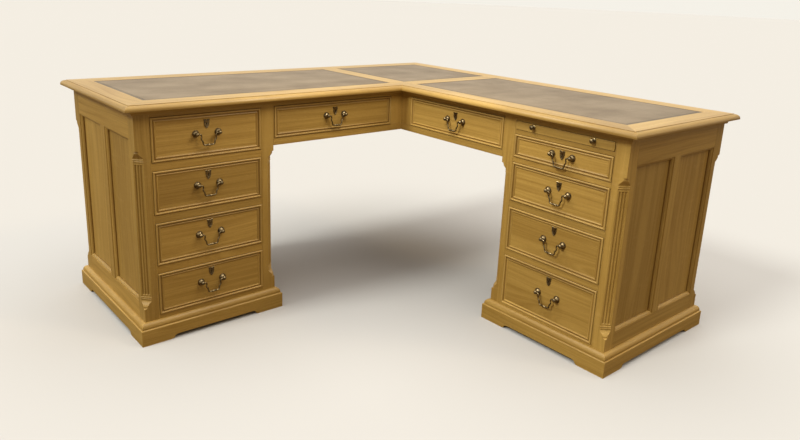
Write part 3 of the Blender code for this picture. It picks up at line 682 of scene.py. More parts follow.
def post_levels(low, high, tongue_low, tongue_top):
    """(height, corner cut, bead, flute depth) from a post's foot to its head."""
    low_collar = tongue_low + TONGUE_LENGTH
    top_collar = tongue_top - TONGUE_LENGTH - COLLAR_LENGTH
    flute_low = low_collar + COLLAR_LENGTH + FLUTE_MARGIN
    flute_top = top_collar - FLUTE_MARGIN
    levels = [(low, POST_EASING, 0.0, 0.0), (tongue_low - TONGUE_STEP, POST_EASING, 0.0, 0.0)]
    levels += [(tongue_low + TONGUE_LENGTH * s, tongue_cut(s), 0.0, 0.0) for s in TONGUE_SHARES]
    levels += collar(low_collar)
    levels.append((flute_low - FLUTE_LEAD, POST_CHAMFER, 0.0, 0.0))
    levels += flute_end(flute_low, 1, range(7))
    levels += flute_end(flute_top, -1, range(6, -1, -1))
    levels.append((flute_top + FLUTE_LEAD, POST_CHAMFER, 0.0, 0.0))
    levels += collar(top_collar)
    levels += [(tongue_top - TONGUE_LENGTH * s, tongue_cut(s), 0.0, 0.0) for s in reversed(TONGUE_SHARES)]
    return levels + [(tongue_top + TONGUE_STEP, POST_EASING, 0.0, 0.0), (high, POST_EASING, 0.0, 0.0)]


def build_post(side, row, place):
    """A square post whose outer corner is chamfered and fluted between two lamb's tongues."""
    name = f"{side}_post_{row}_{place}"
    low, high = local_box(name, side)
    piece = Piece(name + "_fluted", side)
    tongue_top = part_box("top_border")[1].z - OUTER_TONGUE_BELOW_TOP
    if place == "inner":
        tongue_top = APRON_BOTTOM - INNER_TONGUE_BELOW_APRON
    tongue_low = PLINTH_HEIGHT + FOOT_TONGUE_ABOVE_PLINTH
    corner_x, sense_x = (low.x, 1) if place == "outer" else (high.x, -1)
    corner_y, sense_y = (low.y, 1) if row == "front" else (high.y, -1)
    size = high.x - low.x
    sections, hollows = [], []
    for height, cut, bead, flute in post_levels(low.z, high.z, tongue_low, tongue_top):
        section, hollow = [], []
        for i in range(POST_COLUMNS + 1):
            share = i / POST_COLUMNS
            inward, depth = -bead, 0.0
            if flute:
                across = (share - 0.5) * POST_CHAMFER * math.sqrt(2)
                nearest = max(-1, min(1, round(across / FLUTE_PITCH)))
                off = (across - nearest * FLUTE_PITCH) / FLUTE_RADIUS
                if abs(off) < 1.0:
                    depth = flute * math.sqrt(1 - off * off)
                    inward += FLUTE_RADIUS * 0.85 * depth
            x = cut * (1 - share) + inward / math.sqrt(2)
            y = cut * share + inward / math.sqrt(2)
            section.append((max(x, 0.0), max(y, 0.0)))
            # darker the deeper a flute runs: old wax with painted shade in its hollow
            hollow.append(FLUTE_WAX_AND_SHADE * depth)
        section += [(0.0, size), (size, size), (size, 0.0)]
        hollow += [0.0] * 3
        points = ((corner_x + sense_x * x, corner_y + sense_y * y, height) for x, y in section)
        sections.append([Vector(point) for point in points])
        hollows.append(hollow)
    piece.grow(sections, lambda row_at, i: hollows[row_at][i])
    piece.settle("oak", 2)
    piece.done("desk", [name], smooth=32)


def sunk_profile():
    """The moulding round a sunk panel, as (in from the frame, up from the frame's face)."""
    return [
        (-0.0002, -0.0130),
        (-0.0002, -0.0012),
        (0.0012, -0.0012),
        (0.0014, -0.0022),
        (0.0022, -0.0026),
        (0.0042, -0.0032),
        (0.0062, -0.0046),
        (0.0078, -0.0066),
        (0.0088, -0.0086),
        (0.0092, -0.0096),
        (0.0092, -0.0130),
    ]


def draw_panelled(piece, width, low, high, place):
    """A frame of rails and a muntin round two sunk panels, drawn with its face at Y 0 and its back at +Y."""
    half, muntin = width / 2, PANEL_MUNTIN / 2
    thick = PANEL_BOARD
    bottom, top = low + PANEL_BOTTOM_RAIL, high - PANEL_TOP_RAIL
    piece.box((-half, 0.0, low), (half, thick, bottom), grain=0, place=place)
    piece.box((-half, 0.0, top), (half, thick, high), grain=0, place=place)
    piece.box((-muntin, 0.0, bottom), (muntin, thick, top), grain=2, place=place)
    for start, end in ((-half, -half + PANEL_STILE), (half - PANEL_STILE, half)):
        piece.box((start, 0.0, bottom), (end, thick, top), grain=2, ease=FINE_EASE, place=place)
    # dark marks in the quirk and at the foot of the moulding: old wax with painted shade
    marks = {3: 0.6, 9: 1.0, 10: 1.0}
    for start, end in ((-half + PANEL_STILE, -muntin), (muntin, half - PANEL_STILE)):
        piece.box((start, PANEL_RECESS, bottom), (end, thick - 0.001, top), grain=2, ease=0.0, place=place)
        first = len(piece.shape.verts)
        piece.surround(sunk_profile(), (start, bottom), (end, top), 0.0, marks)
        piece.shape.verts.ensure_lookup_table()
        bmesh.ops.transform(piece.shape, matrix=place, verts=piece.shape.verts[first:])


def draw_runner(piece, start, end, wall, sense, base, thickness):
    """A guide and the ledge that a drawer's side runs on; sense is towards the drawer in X."""
    root = wall - sense * thickness
    guide = sorted((root, wall))
    ledge = sorted((root, wall + sense * (SLIDE_GAP + RUNNER_REACH)))
    piece.box((guide[0], start, base + RUNNER_HEIGHT), (guide[1], end, base + GUIDE_HEIGHT), grain=1)
    piece.box((ledge[0], start, base), (ledge[1], end, base + RUNNER_HEIGHT), grain=1)


def openings(side):
    """The (bottom, top) of each opening in a pedestal's front frame, from the top one down."""
    names = [f"{side}_drawer_{i}_front" for i in range(1, 5)]
    if side == "right":
        names.insert(0, "right_writing_slide")
    boxes = [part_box(name) for name in names]
    return [(low.z - SLIDE_GAP, high.z + SLIDE_GAP) for low, high in boxes]


def build_side(side, place):
    """A pedestal's panelled side with the runners of its drawers."""
    name = f"{side}_side_{place}"
    low, high = local_box(name, side)
    piece = Piece(name + "_panelled", side)
    face, inward = (low.x, 1) if place == "outer" else (high.x, -1)
    middle = (low.y + high.y) / 2
    turn = axes(Vector((face, middle, 0.0)), Y, inward * X, Z)
    draw_panelled(piece, high.y - low.y, low.z, high.z, turn)
    frame_high = local_box(side + "_front_frame", side)[1]
    clear = POST_SIZE + FRAME_STILE + SLIDE_GAP
    for bottom, _ in openings(side):
        base = bottom + BOX_LIFT - RUNNER_HEIGHT
        start = frame_high.y + FIXED_GAP
        draw_runner(piece, start, high.y, face + inward * clear, inward, base, clear - PANEL_BOARD)
    piece.done("desk", [name])


def build_back(side):
    """A pedestal's panelled back."""
    name = side + "_back_panel"
    low, high = local_box(name, side)
    piece = Piece(name + "_panelled", side)
    middle = (low.x + high.x) / 2
    turn = axes(Vector((middle, high.y, 0.0)), -X, -Y, Z)
    draw_panelled(piece, high.x - low.x, low.z, high.z, turn)
    piece.done("desk", [name])


def build_front_frame(side):
    """Rails between the drawers, and the slips that close them against the posts."""
    name = side + "_front_frame"
    low, high = local_box(name, side)
    piece = Piece(name + "_rails", side)
    for start, end in ((low.x, low.x + FRAME_STILE), (high.x - FRAME_STILE, high.x)):
        piece.box((start, low.y, low.z), (end, high.y, high.z), grain=2, ease=FINE_EASE)
    levels = [high.z]
    for bottom, top in openings(side):
        levels += [top, bottom]
    levels.append(low.z)
    for top, bottom in zip(levels[::2], levels[1::2]):
        piece.box((low.x + FRAME_STILE, low.y, bottom), (high.x - FRAME_STILE, high.y, top), grain=0)
    piece.done("desk", [name])


def foot_outline(length):
    """The outline of one plinth board: two bracket feet with ogees, and a low arch between them."""
    half = FOOT_OGEE / 2
    rise = [(0.0, 0.0)]
    rise += arc((0.0, FOOT_ARCH / 2), (half, FOOT_ARCH / 2), -90, 0, 5)[1:]
    rise += arc((FOOT_OGEE, FOOT_ARCH / 2), (half, FOOT_ARCH / 2), 180, 90, 5)[1:]
    near = [(FOOT_LENGTH + x, z) for x, z in rise]
    far = [(length - FOOT_LENGTH - x, z) for x, z in reversed(rise)]
    return [(0.0, 0.0)] + near + far + [(length, 0.0), (length, PLINTH_FACE), (0.0, PLINTH_FACE)]


def plinth_profile():
    """The moulding on top of a plinth board, as (in from its face, up from the floor)."""
    bead = arc((PLINTH_BEAD, PLINTH_FACE), (PLINTH_BEAD, PLINTH_BEAD), 180, 90, 6)
    ovolo_base = PLINTH_FACE + 2 * PLINTH_BEAD
    reach = PLINTH_PROJECTION - 1.4 * PLINTH_BEAD
    ovolo = arc((PLINTH_PROJECTION, ovolo_base), (reach, PLINTH_HEIGHT - ovolo_base), 180, 90, 8)
    back = [(PLINTH_WALL, PLINTH_HEIGHT), (PLINTH_WALL, PLINTH_FACE)]
    return bead + [(1.4 * PLINTH_BEAD, PLINTH_FACE + PLINTH_BEAD)] + ovolo + back


def build_plinth(side):
    """A plinth of four mitred boards on bracket feet, with the pedestal's bottom board inside it."""
    name = side + "_plinth"
    low, high = local_box(name, side)
    piece = Piece(name + "_boards", side)
    width, depth = high.x - low.x, high.y - low.y
    for x, y, run, across, length in (
        (low.x, low.y, X, Y, width),
        (low.x, high.y, X, -Y, width),
        (low.x, low.y, Y, X, depth),
        (high.x, low.y, Y, -X, depth),
    ):
        place = axes(Vector((x, y, 0.0)), run, across, Z)
        outline = foot_outline(length)
        back = []
        for a, h in outline:
            mitred = PLINTH_WALL if a == 0.0 else length - PLINTH_WALL if a == length else a
            back.append(Vector((mitred, PLINTH_WALL, h)))
        piece.grow([[Vector((a, 0.0, h)) for a, h in outline], back])
        piece.settle("oak", 0, place)
        # the quirk between bead and ovolo is darkened: old wax with painted shade
        piece.strip(plinth_profile(), length, (1, 1), place, dict.fromkeys((6, 7, 8), 0.35))
    inset = PLINTH_WALL + JOINT
    piece.box(
        (low.x + inset, low.y + inset, PLINTH_HEIGHT - PLINTH_BOARD),
        (high.x - inset, high.y - inset, PLINTH_HEIGHT),
        grain=0,
    )
    piece.done("desk", [name])


# ---- aprons


def build_apron(side):
    """A wing's apron: a framed front round its drawer, and a back board with the drawer's two runners."""
    name = side + "_apron_front"
    low, high = local_box(name, side)
    drawer_low, drawer_high = local_box(side + "_apron_drawer_front", side)
    start, end = drawer_low.x - SLIDE_GAP, drawer_high.x + SLIDE_GAP
    bottom, top = drawer_low.z - SLIDE_GAP, drawer_high.z + SLIDE_GAP
    front = Piece(name + "_rails", side)
    front.box((low.x, low.y, low.z), (high.x, high.y, bottom), grain=0)
    front.box((low.x, low.y, top), (high.x, high.y, high.z), grain=0)
    front.box((low.x, low.y, bottom), (start, high.y, top), grain=2, ease=FINE_EASE)
    front.box((end, low.y, bottom), (high.x, high.y, top), grain=2)
    front.done("desk", [name])

    name = side + "_apron_back"
    back_low, back_high = local_box(name, side)
    back = Piece(name + "_boards", side)
    back.box((back_low.x, back_high.y - APRON_BOARD, back_low.z), back_high, grain=0)
    for wall, sense in ((start + SLIDE_GAP, 1), (end - SLIDE_GAP, -1)):
        base = bottom + BOX_LIFT - RUNNER_HEIGHT
        draw_runner(back, back_low.y, back_high.y - APRON_BOARD, wall, sense, base, 0.003)
    back.done("desk", [name])


# ---- drawers


def front_profile():
    """The moulding round a drawer front, as (in from its edge, up from its face): bead, hollow, bead."""
    bead = arc((0.0034, 0.0), (0.0034, 0.0030), 180, 0, 8)
    inner = [
        (0.0074, -0.0010),
        (0.0088, -0.0013),
        (0.0106, -0.0010),
        (0.0116, 0.0002),
        (0.0128, 0.0008),
        (0.0140, 0.0003),
        (0.0150, -0.0006),
        (0.0165, -0.0011),
        (0.0176, -0.0015),
    ]
    base = -FIELD_DEPTH - 0.0003
    return [(0.0, base)] + bead + inner + [(MOULDING_WIDTH, base)]


def build_front(name):
    """A drawer front: a board with a sunk field in a mitred moulding."""
    side = name.split("_")[0]
    low, high = local_box(name + "_front", side)
    face = high.y - FRONT_THICKNESS
    piece = Piece(name + "_face", side)
    piece.box((low.x, face + FIELD_DEPTH, low.z), (high.x, high.y, high.z), grain=0, ease=FINE_EASE)
    # dark marks at the bead's foot, in the hollow and at the field's edge are old wax with painted shade; the
    # bead's top is lightened by rubbing with a painted highlight
    marks = dict.fromkeys((0, 1, 10, 11, 18, 19), 1.0) | dict.fromkeys((3, 4, 5, 6, 7), -0.55) | {12: 0.6}
    piece.surround(front_profile(), (low.x, low.z), (high.x, high.z), face, marks)
    piece.done(name, [name + "_front"])


def build_box(name):
    """An open drawer box: two sides dovetailed to its ends, and a bottom housed between them."""
    side = name.split("_")[0]
    low, high = local_box(name + "_box", side)
    piece = Piece(name + "_dovetailed", side)
    bottom, wall = low.z, BOX_WALL
    for start, end in ((low.y, low.y + wall), (high.y - wall, high.y)):
        piece.box((low.x + wall, start, bottom), (high.x - wall, end, high.z), "drawer_lining", 0, FINE_EASE)
    floor = bottom + BOX_BOTTOM_LIFT
    far = (high.x - wall, high.y - wall, floor + BOX_BOTTOM)
    piece.box((low.x + wall, low.y + wall, floor), far, "drawer_lining", 0, 0.0)
    count = max(2, round((high.z - bottom) / DOVETAIL_PITCH))
    pitch = (high.z - bottom) / count
    teeth = []  # the outline of a side's end, from the bottom up: a narrow pin's notch in each pitch
    for i in range(count):
        middle = bottom + (i + 0.5) * pitch
        wide, narrow = pitch * 0.20, pitch * 0.11
        teeth += [(0.0, middle - narrow), (wall, middle - wide)]
        teeth += [(wall, middle + wide), (0.0, middle + narrow)]
    for face, sense in ((low.x, 1), (high.x, -1)):
        outline = [(low.y, bottom)] + [(low.y + a, z) for a, z in teeth] + [(low.y, high.z), (high.y, high.z)]
        outline += [(high.y - a, z) for a, z in reversed(teeth)] + [(high.y, bottom)]
        piece.grow([[Vector((face + sense * t, y, z)) for y, z in outline] for t in (0.0, wall)])
        piece.settle("drawer_lining", 1)
        for i in range(count):
            pin = teeth[4 * i : 4 * i + 4]
            for end, inward in ((low.y, 1), (high.y, -1)):
                ring = [(end + inward * (a + JOINT / 2), z) for a, z in pin]
                piece.grow(
                    [[Vector((face + sense * t, y, z)) for y, z in ring] for t in (JOINT, wall)],
                    lambda row, point: 0.35,
                )
                piece.settle("drawer_lining", 0)
    piece.done(name, [name + "_box"])


# ---- brasses


def handle_point(name):
    """The middle of a bail's hinge line, in its wing's frame."""
    point = Vector(JOINTS[name + "_bail_swings"]["pos_m"])
    return point if name.startswith("left") else SWAP @ point


def rose_profile(settings):
    """A handle's post as (radius, distance out from the drawer's field): a domed rose and a ball."""
    rose, ball = settings.rose_radius, settings.ball_radius
    middle = BALL_PROUD + FIELD_DEPTH
    turns = [math.radians(t) for t in range(-40, 90, 13)]
    profile = [(0.0, -0.0004), (rose, -0.0004), (rose, 0.0012), (rose * 0.97, 0.0020), (rose * 0.90, 0.0022)]
    profile += [(rose * 0.86, 0.0018), (rose * 0.84, 0.0026), (rose * 0.80, 0.0040), (rose * 0.70, 0.0057)]
    profile += [(rose * 0.58, 0.0070), (rose * 0.48, 0.0079), (rose * 0.44, 0.0086)]
    profile += [(ball * math.cos(t), middle + ball * math.sin(t)) for t in turns]
    return profile + [(0.0, middle + ball)]


def shield_radius(turn):
    """How far a lock's shield reaches from its keyhole at an angle from straight up."""
    angle = abs(math.degrees(math.remainder(turn, 2 * math.pi)))
    for (low, near), (high, far) in zip(SHIELD, SHIELD[1:]):
        if angle <= high:
            return near + (far - near) * (angle - low) / (high - low)
    return SHIELD[-1][1]


def keyhole_radius(turn):
    """How far a keyhole reaches from its middle: a round with a slot below."""
    x, z = math.sin(turn), math.cos(turn)
    eye, slot, drop = 0.0021, 0.00105, 0.0062
    if z < 0 and abs(x) < math.sin(math.atan2(slot, 0.0018)):
        return min(drop / -z, slot / max(abs(x), 1e-6))
    return eye


def build_brasses(name):
    """The two posts of a drawer's handle, and the shield round its lock."""
    side = name.split("_")[0]
    settings = bpy.context.scene.corner_desk
    low, high = local_box(name + "_front", side)
    field = high.y - FRONT_THICKNESS + FIELD_DEPTH
    piece = Piece(name + "_brasses", side)
    at = handle_point(name)
    for sense in (-1, 1):
        place = axes(Vector((at.x + sense * HANDLE_SPACING / 2, field, at.z)), X, Z, -Y)
        piece.turned(rose_profile(settings), place, "antique_brass", 28)
    middle = (low.z + high.z) / 2 + SHIELD_RISE[name]
    place = axes(Vector((at.x, field, middle)), X, Z, -Y)
    turns = [2 * math.pi * (i + 0.5) / 48 for i in range(48)]

    def loop(reach, scale, height, grow=0.0):
        radii = [reach(turn) * scale + grow for turn in turns]
        return [Vector((math.sin(t) * r, math.cos(t) * r, height)) for t, r in zip(turns, radii)]

    loops = [loop(shield_radius, 1.0, -SUNK)]
    for scale, height in ((1.0, 0.8), (0.95, 1.25), (0.86, 1.25), (0.80, 0.75)):
        loops.append(loop(shield_radius, scale, SHIELD_THICKNESS * height))
    loops.append(loop(keyhole_radius, 1.0, SHIELD_THICKNESS * 0.9, 0.0008))
    loops += [loop(keyhole_radius, 1.0, height) for height in (SHIELD_THICKNESS * 0.7, -SUNK)]
    piece.rings(loops, place, "antique_brass")
    piece.grow([loop(keyhole_radius, 1.0, height, JOINT) for height in (-SUNK, SUNK)])
    piece.settle("lock_shadow", 0, place)
    pin = [(0.0, 0.0), (0.0009, 0.0), (0.0009, 0.0014), (0.0006, 0.0019), (0.0, 0.0020)]
    for rise in (0.0098, -0.0118):
        piece.turned(pin, place @ Matrix.Translation((0.0, rise, 0.0)), "antique_brass", 10)
    piece.done(name, (), smooth=38)


def build_bail(name):
    """A swan-necked bail, thickened to a turned grip at its lowest part."""
    side = name.split("_")[0]
    settings = bpy.context.scene.corner_desk
    at = handle_point(name)
    ball = settings.ball_radius
    reach = HANDLE_SPACING / 2 - ball * 0.55
    drop = settings.bail_drop
    half = [
        (reach, 0.0, 1.0),
        (reach - 0.0040, -0.0003, 1.0),
        (reach - 0.0075, -0.0016, 1.1),
        (reach - 0.0098, -0.0050, 1.0),
        (reach - 0.0099, -0.0090, 0.95),
        (reach - 0.0088, -0.0130, 0.95),
        (reach - 0.0094, -0.0175, 1.0),
        (reach - 0.0124, -0.0215, 1.0),
        (reach - 0.0142, -0.0255, 1.0),
        (reach - 0.0148, -drop * 0.84, 1.0),
        (reach - 0.0166, -drop * 0.95, 1.05),
        (0.0145, -drop, 1.1),
        (0.0095, -drop, 1.15),
        (0.0084, -drop, 1.5),
        (0.0076, -drop, 1.5),
        (0.0066, -drop, 1.1),
        (0.0040, -drop, 1.35),
        (0.0012, -drop, 1.5),
    ]
    points = half + [(-x, z, r) for x, z, r in reversed(half)]
    line = bpy.data.curves.new(name + "_bail_line", "CURVE")
    line.dimensions = "3D"
    line.bevel_depth = BAIL_RADIUS
    line.bevel_resolution = 3
    line.use_fill_caps = True
    spline = line.splines.new("BEZIER")
    spline.bezier_points.add(len(points) - 1)
    spline.resolution_u = 3
    for knot, (x, z, radius) in zip(spline.bezier_points, points):
        knot.co = (at.x + x, at.y, at.z + z)
        knot.radius = radius
        knot.handle_left_type = knot.handle_right_type = "AUTO"
    rail = put_in_scene(name + "_bail_line", line)
    bpy.context.view_layer.update()
    solid = bpy.data.meshes.new_from_object(rail.evaluated_get(bpy.context.evaluated_depsgraph_get()))
    bpy.data.objects.remove(rail)
    piece = Piece(name + "_bail_cast", side)
    piece.shape.from_mesh(solid)
    bmesh.ops.remove_doubles(piece.shape, verts=piece.shape.verts, dist=MERGED)
    piece.grain = piece.shape.verts.layers.float_vector["grain"]
    piece.settle("antique_brass", 0)
    piece.done(name + "_bail", [name + "_bail"], smooth=50)


# ---- the writing slide


def build_writing_slide():
    """A pull-out writing board clamped in a lip, with two turned knobs."""
    name = "right_writing_slide"
    low, high = local_box(name, "right")
    piece = Piece(name + "_board", "right")
    piece.box((low.x, low.y, low.z), (high.x, low.y + SLIDE_LIP, high.z), grain=0, ease=0.0009)
    base = low.z + SLIDE_LIFT
    width = (high.x - low.x) / SLIDE_BOARDS
    for i in range(SLIDE_BOARDS):
        start = low.x + i * width
        near = (start, low.y + SLIDE_LIP, base)
        piece.box(near, (low.x + (i + 1) * width, high.y, base + SLIDE_BOARD), grain=1, ease=0.0003)
    piece.done(name, [name])
    for place in ("outer", "inner"):
        knob = f"{name}_knob_{place}"
        knob_low, knob_high = local_box(knob, "right")
        middle = (knob_low + knob_high) / 2
        radius = (knob_high.x - knob_low.x) / 2
        length = knob_high.y - knob_low.y
        turning = Piece(knob + "_turned", "right")
        profile = [(radius * r, length * h) for r, h in KNOB_FOOT]
        crown = arc((0.0, 0.0), (1.0, 1.0), -50, 90, 9)
        profile += [(radius * x, length * (0.68 + 0.32 * z)) for x, z in crown[:-1]] + [(0.0, length)]
        out = axes(Vector((middle.x, knob_high.y, middle.z)), X, Z, -Y)
        turning.turned(profile, out, "antique_brass", 28)
        turning.done(name, [knob], smooth=38)


# ---- stage


def sun(name, towards, softness, strength, colour):
    """A far light in the direction towards, its shadows softened by an angle in degrees."""
    lamp = bpy.data.lights.new(name, "SUN")
    lamp.energy = strength * math.pi
    lamp.angle = math.radians(softness)
    lamp.color = colour
    made = put_in_scene(name, lamp)
    made.location = Vector(towards) * 3.0
    made.rotation_euler = Vector(towards).to_track_quat("Z", "Y").to_euler()


def corner_lamp(floor, strength):
    """A soft lamp in the open corner, that lights the desk but not the floor."""
    lamp = bpy.data.lights.new("corner_lamp", "POINT")
    lamp.energy = strength * 4 * math.pi**2
    lamp.shadow_soft_size = 0.15
    lamp.color = (1.0, 0.96, 0.88)
    made = put_in_scene("corner_lamp", lamp)
    made.location = (-0.12, -0.16, 1.22)
    unlit = bpy.data.collections.new("unlit_by_corner_lamp")
    unlit.objects.link(floor)
    made.light_linking.receiver_collection = unlit
    unlit.collection_objects[0].light_linking.link_state = "EXCLUDE"


def build_camera():
    """A camera at standing height in front of the open corner."""
    yaw, pitch, roll = 0.716, -0.2689, 0.0423
    right = Vector((math.cos(yaw), -math.sin(yaw), 0.0))
    ahead = Vector((math.sin(yaw) * math.cos(pitch), math.cos(yaw) * math.cos(pitch), math.sin(pitch)))
    up = right.cross(ahead)
    side = right * math.cos(roll) + up * math.sin(roll)
    above = up * math.cos(roll) - right * math.sin(roll)
    lens = bpy.data.cameras.new("camera")
    lens.sensor_width = 36.0
    lens.lens = 31.0
    lens.shift_x = 0.0009
    lens.shift_y = -0.0529
    lens.clip_end = 200.0
    camera = put_in_scene("camera", lens)
    camera.matrix_world = axes(Vector((-1.5237, -1.8118, 1.1416)), side, above, -ahead)
    bpy.context.scene.camera = camera


def build_stage():
    """The floor, the lights and the pale room round them."""
    settings = bpy.context.scene.corner_desk
    mesh = bpy.data.meshes.new("floor")
    shape = bmesh.new()
    bmesh.ops.create_circle(shape, cap_ends=True, segments=64, radius=60.0)
    shape.to_mesh(mesh)
    shape.free()
    made, tree, shader = new_finish("pale_floor", 0.9)
    shader.inputs["Specular IOR Level"].default_value = 0.0
    seen = node(tree, "LightPath").outputs["Is Camera Ray"]
    colour = blend(tree, seen, rgba(settings.bounce_colour), rgba(settings.floor_colour))
    tree.links.new(colour, shader.inputs["Base Color"])
    mesh.materials.append(made)
    floor = put_in_scene("floor", mesh)

    world = bpy.data.worlds.new("room")
    world.use_nodes = True
    tree = world.node_tree
    sky = tree.nodes["Background"]
    seen, glossy = (node(tree, "LightPath").outputs[f"Is {kind} Ray"] for kind in ("Camera", "Glossy"))
    plain = maths(tree, "MAXIMUM", seen, glossy)
    colour = blend(tree, plain, ROOM_WARMTH, rgba(settings.room_colour))
    tree.links.new(colour, sky.inputs["Color"])
    mirrored = remap(tree, glossy, 0.0, 1.0, settings.room_light, settings.room_mirrored)
    tree.links.new(remap(tree, seen, 0.0, 1.0, mirrored, BACKDROP_STRENGTH), sky.inputs["Strength"])
    bpy.context.scene.world = world
    bpy.context.scene.view_settings.view_transform = "Standard"

    sun("overhead", (0.0, 0.0, 1.0), 80.0, settings.overhead_light, (1.0, 0.98, 0.93))
    sun("left_lamp", (-1.0, 0.12, 0.85), 14.0, settings.left_light, (0.98, 1.0, 0.93))
    sun("right_lamp", (0.75, -1.0, 1.0), 12.0, settings.right_light, (1.0, 0.78, 0.48))
    corner_lamp(floor, settings.corner_light)


# ---- settings, operators and panel


def colour_property(name, description, default):
    return bpy.props.FloatVectorProperty(
        name=name, description=description, default=default, size=3, subtype="COLOR", min=0.0, max=1.0
    )


def amount_property(name, description, default):
    return bpy.props.FloatProperty(name=name, description=description, default=default, min=0.0)


def length_property(name, description, default):
    return bpy.props.FloatProperty(name=name, description=description, default=default, unit="LENGTH")


class CornerDeskSettings(bpy.types.PropertyGroup):
    """Sizes and colours of the desk's visible parts."""

    oak_light: colour_property("Oak, light", "The lighter bands of the oak", (0.58, 0.366, 0.094))
    oak_dark: colour_property("Oak, dark", "The darker bands of the oak", (0.315, 0.174, 0.031))
    lining_light: colour_property("Lining, light", "The lighter bands of the boxes", (0.74, 0.58, 0.34))
    lining_dark: colour_property("Lining, dark", "The darker bands of the boxes", (0.55, 0.39, 0.19))
    leather_light: colour_property("Leather, light", "The worn parts of the hides", (0.20, 0.134, 0.062))
    leather_dark: colour_property("Leather, dark", "The deeper parts of the hides", (0.112, 0.072, 0.032))
    brass_bright: colour_property("Brass, rubbed", "Brass where hands rub it", (0.32, 0.235, 0.12))
    brass_dark: colour_property("Brass, patina", "Brass where its patina stays", (0.020, 0.015, 0.010))
    floor_colour: colour_property("Floor", "The floor under the desk", (0.615, 0.602, 0.592))
    bounce_colour: colour_property("Bounce", "The floor as the desk is lit by it", (0.20, 0.145, 0.085))
    room_colour: colour_property("Room", "The pale room round the desk", (0.985, 0.95, 0.865))
    wax: amount_property("Wax", "How much of a waxed coat the oak has", 0.10)
    rose_radius: length_property("Rose Radius", "Radius of a handle's roses", 0.0120)
    ball_radius: length_property("Ball Radius", "Radius of a handle's balls", 0.0070)
    bail_drop: length_property("Bail Drop", "From the hinge line down to the grip", 0.0364)
    room_light: amount_property("Room Light", "How much the room lights the desk", 0.22)
    room_mirrored: amount_property("Room Mirrored", "How bright the room is in reflections", 1.1)
    corner_light: amount_property("Corner Light", "Strength of the lamp in the open corner", 0.28)
    overhead_light: amount_property("Overhead Light", "Strength of the light above", 0.86)
    left_light: amount_property("Left Light", "Strength of the light at the left", 0.52)
    right_light: amount_property("Right Light", "Strength of the light at the right", 0.11)


class CORNER_DESK_OT_top(bpy.types.Operator):
    """Builds the moulded border, its cross rails and the boards under the leathers"""

    bl_idname = "corner_desk.top"
    bl_label = "Top"

    def execute(self, context):
        build_border()
        build_core()
        return {"FINISHED"}


class CORNER_DESK_OT_leathers(bpy.types.Operator):
    """Lays the three leather panels"""

    bl_idname = "corner_desk.leathers"
    bl_label = "Leathers"

    def execute(self, context):
        for name in LEATHERS:
            build_leather(name)
        return {"FINISHED"}


class CORNER_DESK_OT_posts(bpy.types.Operator):
    """Builds the eight fluted posts"""

    bl_idname = "corner_desk.posts"
    bl_label = "Posts"

    def execute(self, context):
        for side in SIDES:
            for row in ("front", "back"):
                for place in ("outer", "inner"):
                    build_post(side, row, place)
        return {"FINISHED"}


class CORNER_DESK_OT_panels(bpy.types.Operator):
    """Builds the panelled sides and backs of the pedestals"""

    bl_idname = "corner_desk.panels"
    bl_label = "Sides and Backs"

    def execute(self, context):
        for side in SIDES:
            build_side(side, "outer")
            build_side(side, "inner")
            build_back(side)
        return {"FINISHED"}


class CORNER_DESK_OT_frames(bpy.types.Operator):
    """Builds the front frames that the drawers run in"""

    bl_idname = "corner_desk.frames"
    bl_label = "Front Frames"

    def execute(self, context):
        for side in SIDES:
            build_front_frame(side)
        return {"FINISHED"}


class CORNER_DESK_OT_plinths(bpy.types.Operator):
    """Builds the two plinths on their bracket feet"""

    bl_idname = "corner_desk.plinths"
    bl_label = "Plinths"

    def execute(self, context):
        for side in SIDES:
            build_plinth(side)
        return {"FINISHED"}


class CORNER_DESK_OT_aprons(bpy.types.Operator):
    """Builds the aprons between the pedestals and the corner"""

    bl_idname = "corner_desk.aprons"
    bl_label = "Aprons"

    def execute(self, context):
        for side in SIDES:
            build_apron(side)
        return {"FINISHED"}


class CORNER_DESK_OT_drawers(bpy.types.Operator):
    """Builds the ten drawers' fronts and boxes"""

    bl_idname = "corner_desk.drawers"
    bl_label = "Drawers"

    def execute(self, context):
        for name in DRAWERS:
            build_front(name)
            build_box(name)
        return {"FINISHED"}


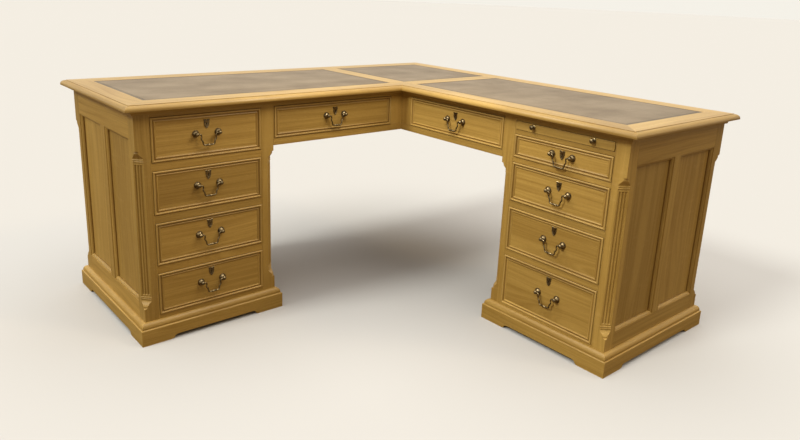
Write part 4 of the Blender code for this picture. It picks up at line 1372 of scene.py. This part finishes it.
class CORNER_DESK_OT_handles(bpy.types.Operator):
    """Builds the roses, balls, shields and bails of the drawers"""

    bl_idname = "corner_desk.handles"
    bl_label = "Handles and Locks"

    def execute(self, context):
        for name in DRAWERS:
            build_brasses(name)
            build_bail(name)
        return {"FINISHED"}


class CORNER_DESK_OT_slide(bpy.types.Operator):
    """Builds the writing slide and its knobs"""

    bl_idname = "corner_desk.slide"
    bl_label = "Writing Slide"

    def execute(self, context):
        build_writing_slide()
        return {"FINISHED"}


class CORNER_DESK_OT_stage(bpy.types.Operator):
    """Sets the floor, the lights and the camera"""

    bl_idname = "corner_desk.stage"
    bl_label = "Stage"

    def execute(self, context):
        build_camera()
        build_stage()
        return {"FINISHED"}


OPERATORS = (
    CORNER_DESK_OT_stage,
    CORNER_DESK_OT_top,
    CORNER_DESK_OT_leathers,
    CORNER_DESK_OT_posts,
    CORNER_DESK_OT_panels,
    CORNER_DESK_OT_frames,
    CORNER_DESK_OT_plinths,
    CORNER_DESK_OT_aprons,
    CORNER_DESK_OT_drawers,
    CORNER_DESK_OT_handles,
    CORNER_DESK_OT_slide,
)


class CORNER_DESK_PT_panel(bpy.types.Panel):
    """Lists the desk's parts and settings"""

    bl_idname = "CORNER_DESK_PT_panel"
    bl_label = "Corner Desk"
    bl_space_type = "VIEW_3D"
    bl_region_type = "UI"
    bl_category = "Corner Desk"

    def draw(self, context):
        for name in CornerDeskSettings.__annotations__:
            self.layout.prop(context.scene.corner_desk, name)
        for operator in OPERATORS:
            self.layout.operator(operator.bl_idname)


CLASSES = (CornerDeskSettings, *OPERATORS, CORNER_DESK_PT_panel)


def register():
    for item in CLASSES:
        bpy.utils.register_class(item)
    bpy.types.Scene.corner_desk = bpy.props.PointerProperty(type=CornerDeskSettings)


def unregister():
    del bpy.types.Scene.corner_desk
    for item in reversed(CLASSES):
        bpy.utils.unregister_class(item)


def main():
    register()
    for operator in OPERATORS:
        group, name = operator.bl_idname.split(".")
        getattr(getattr(bpy.ops, group), name)()


if __name__ == "__main__":
    main()
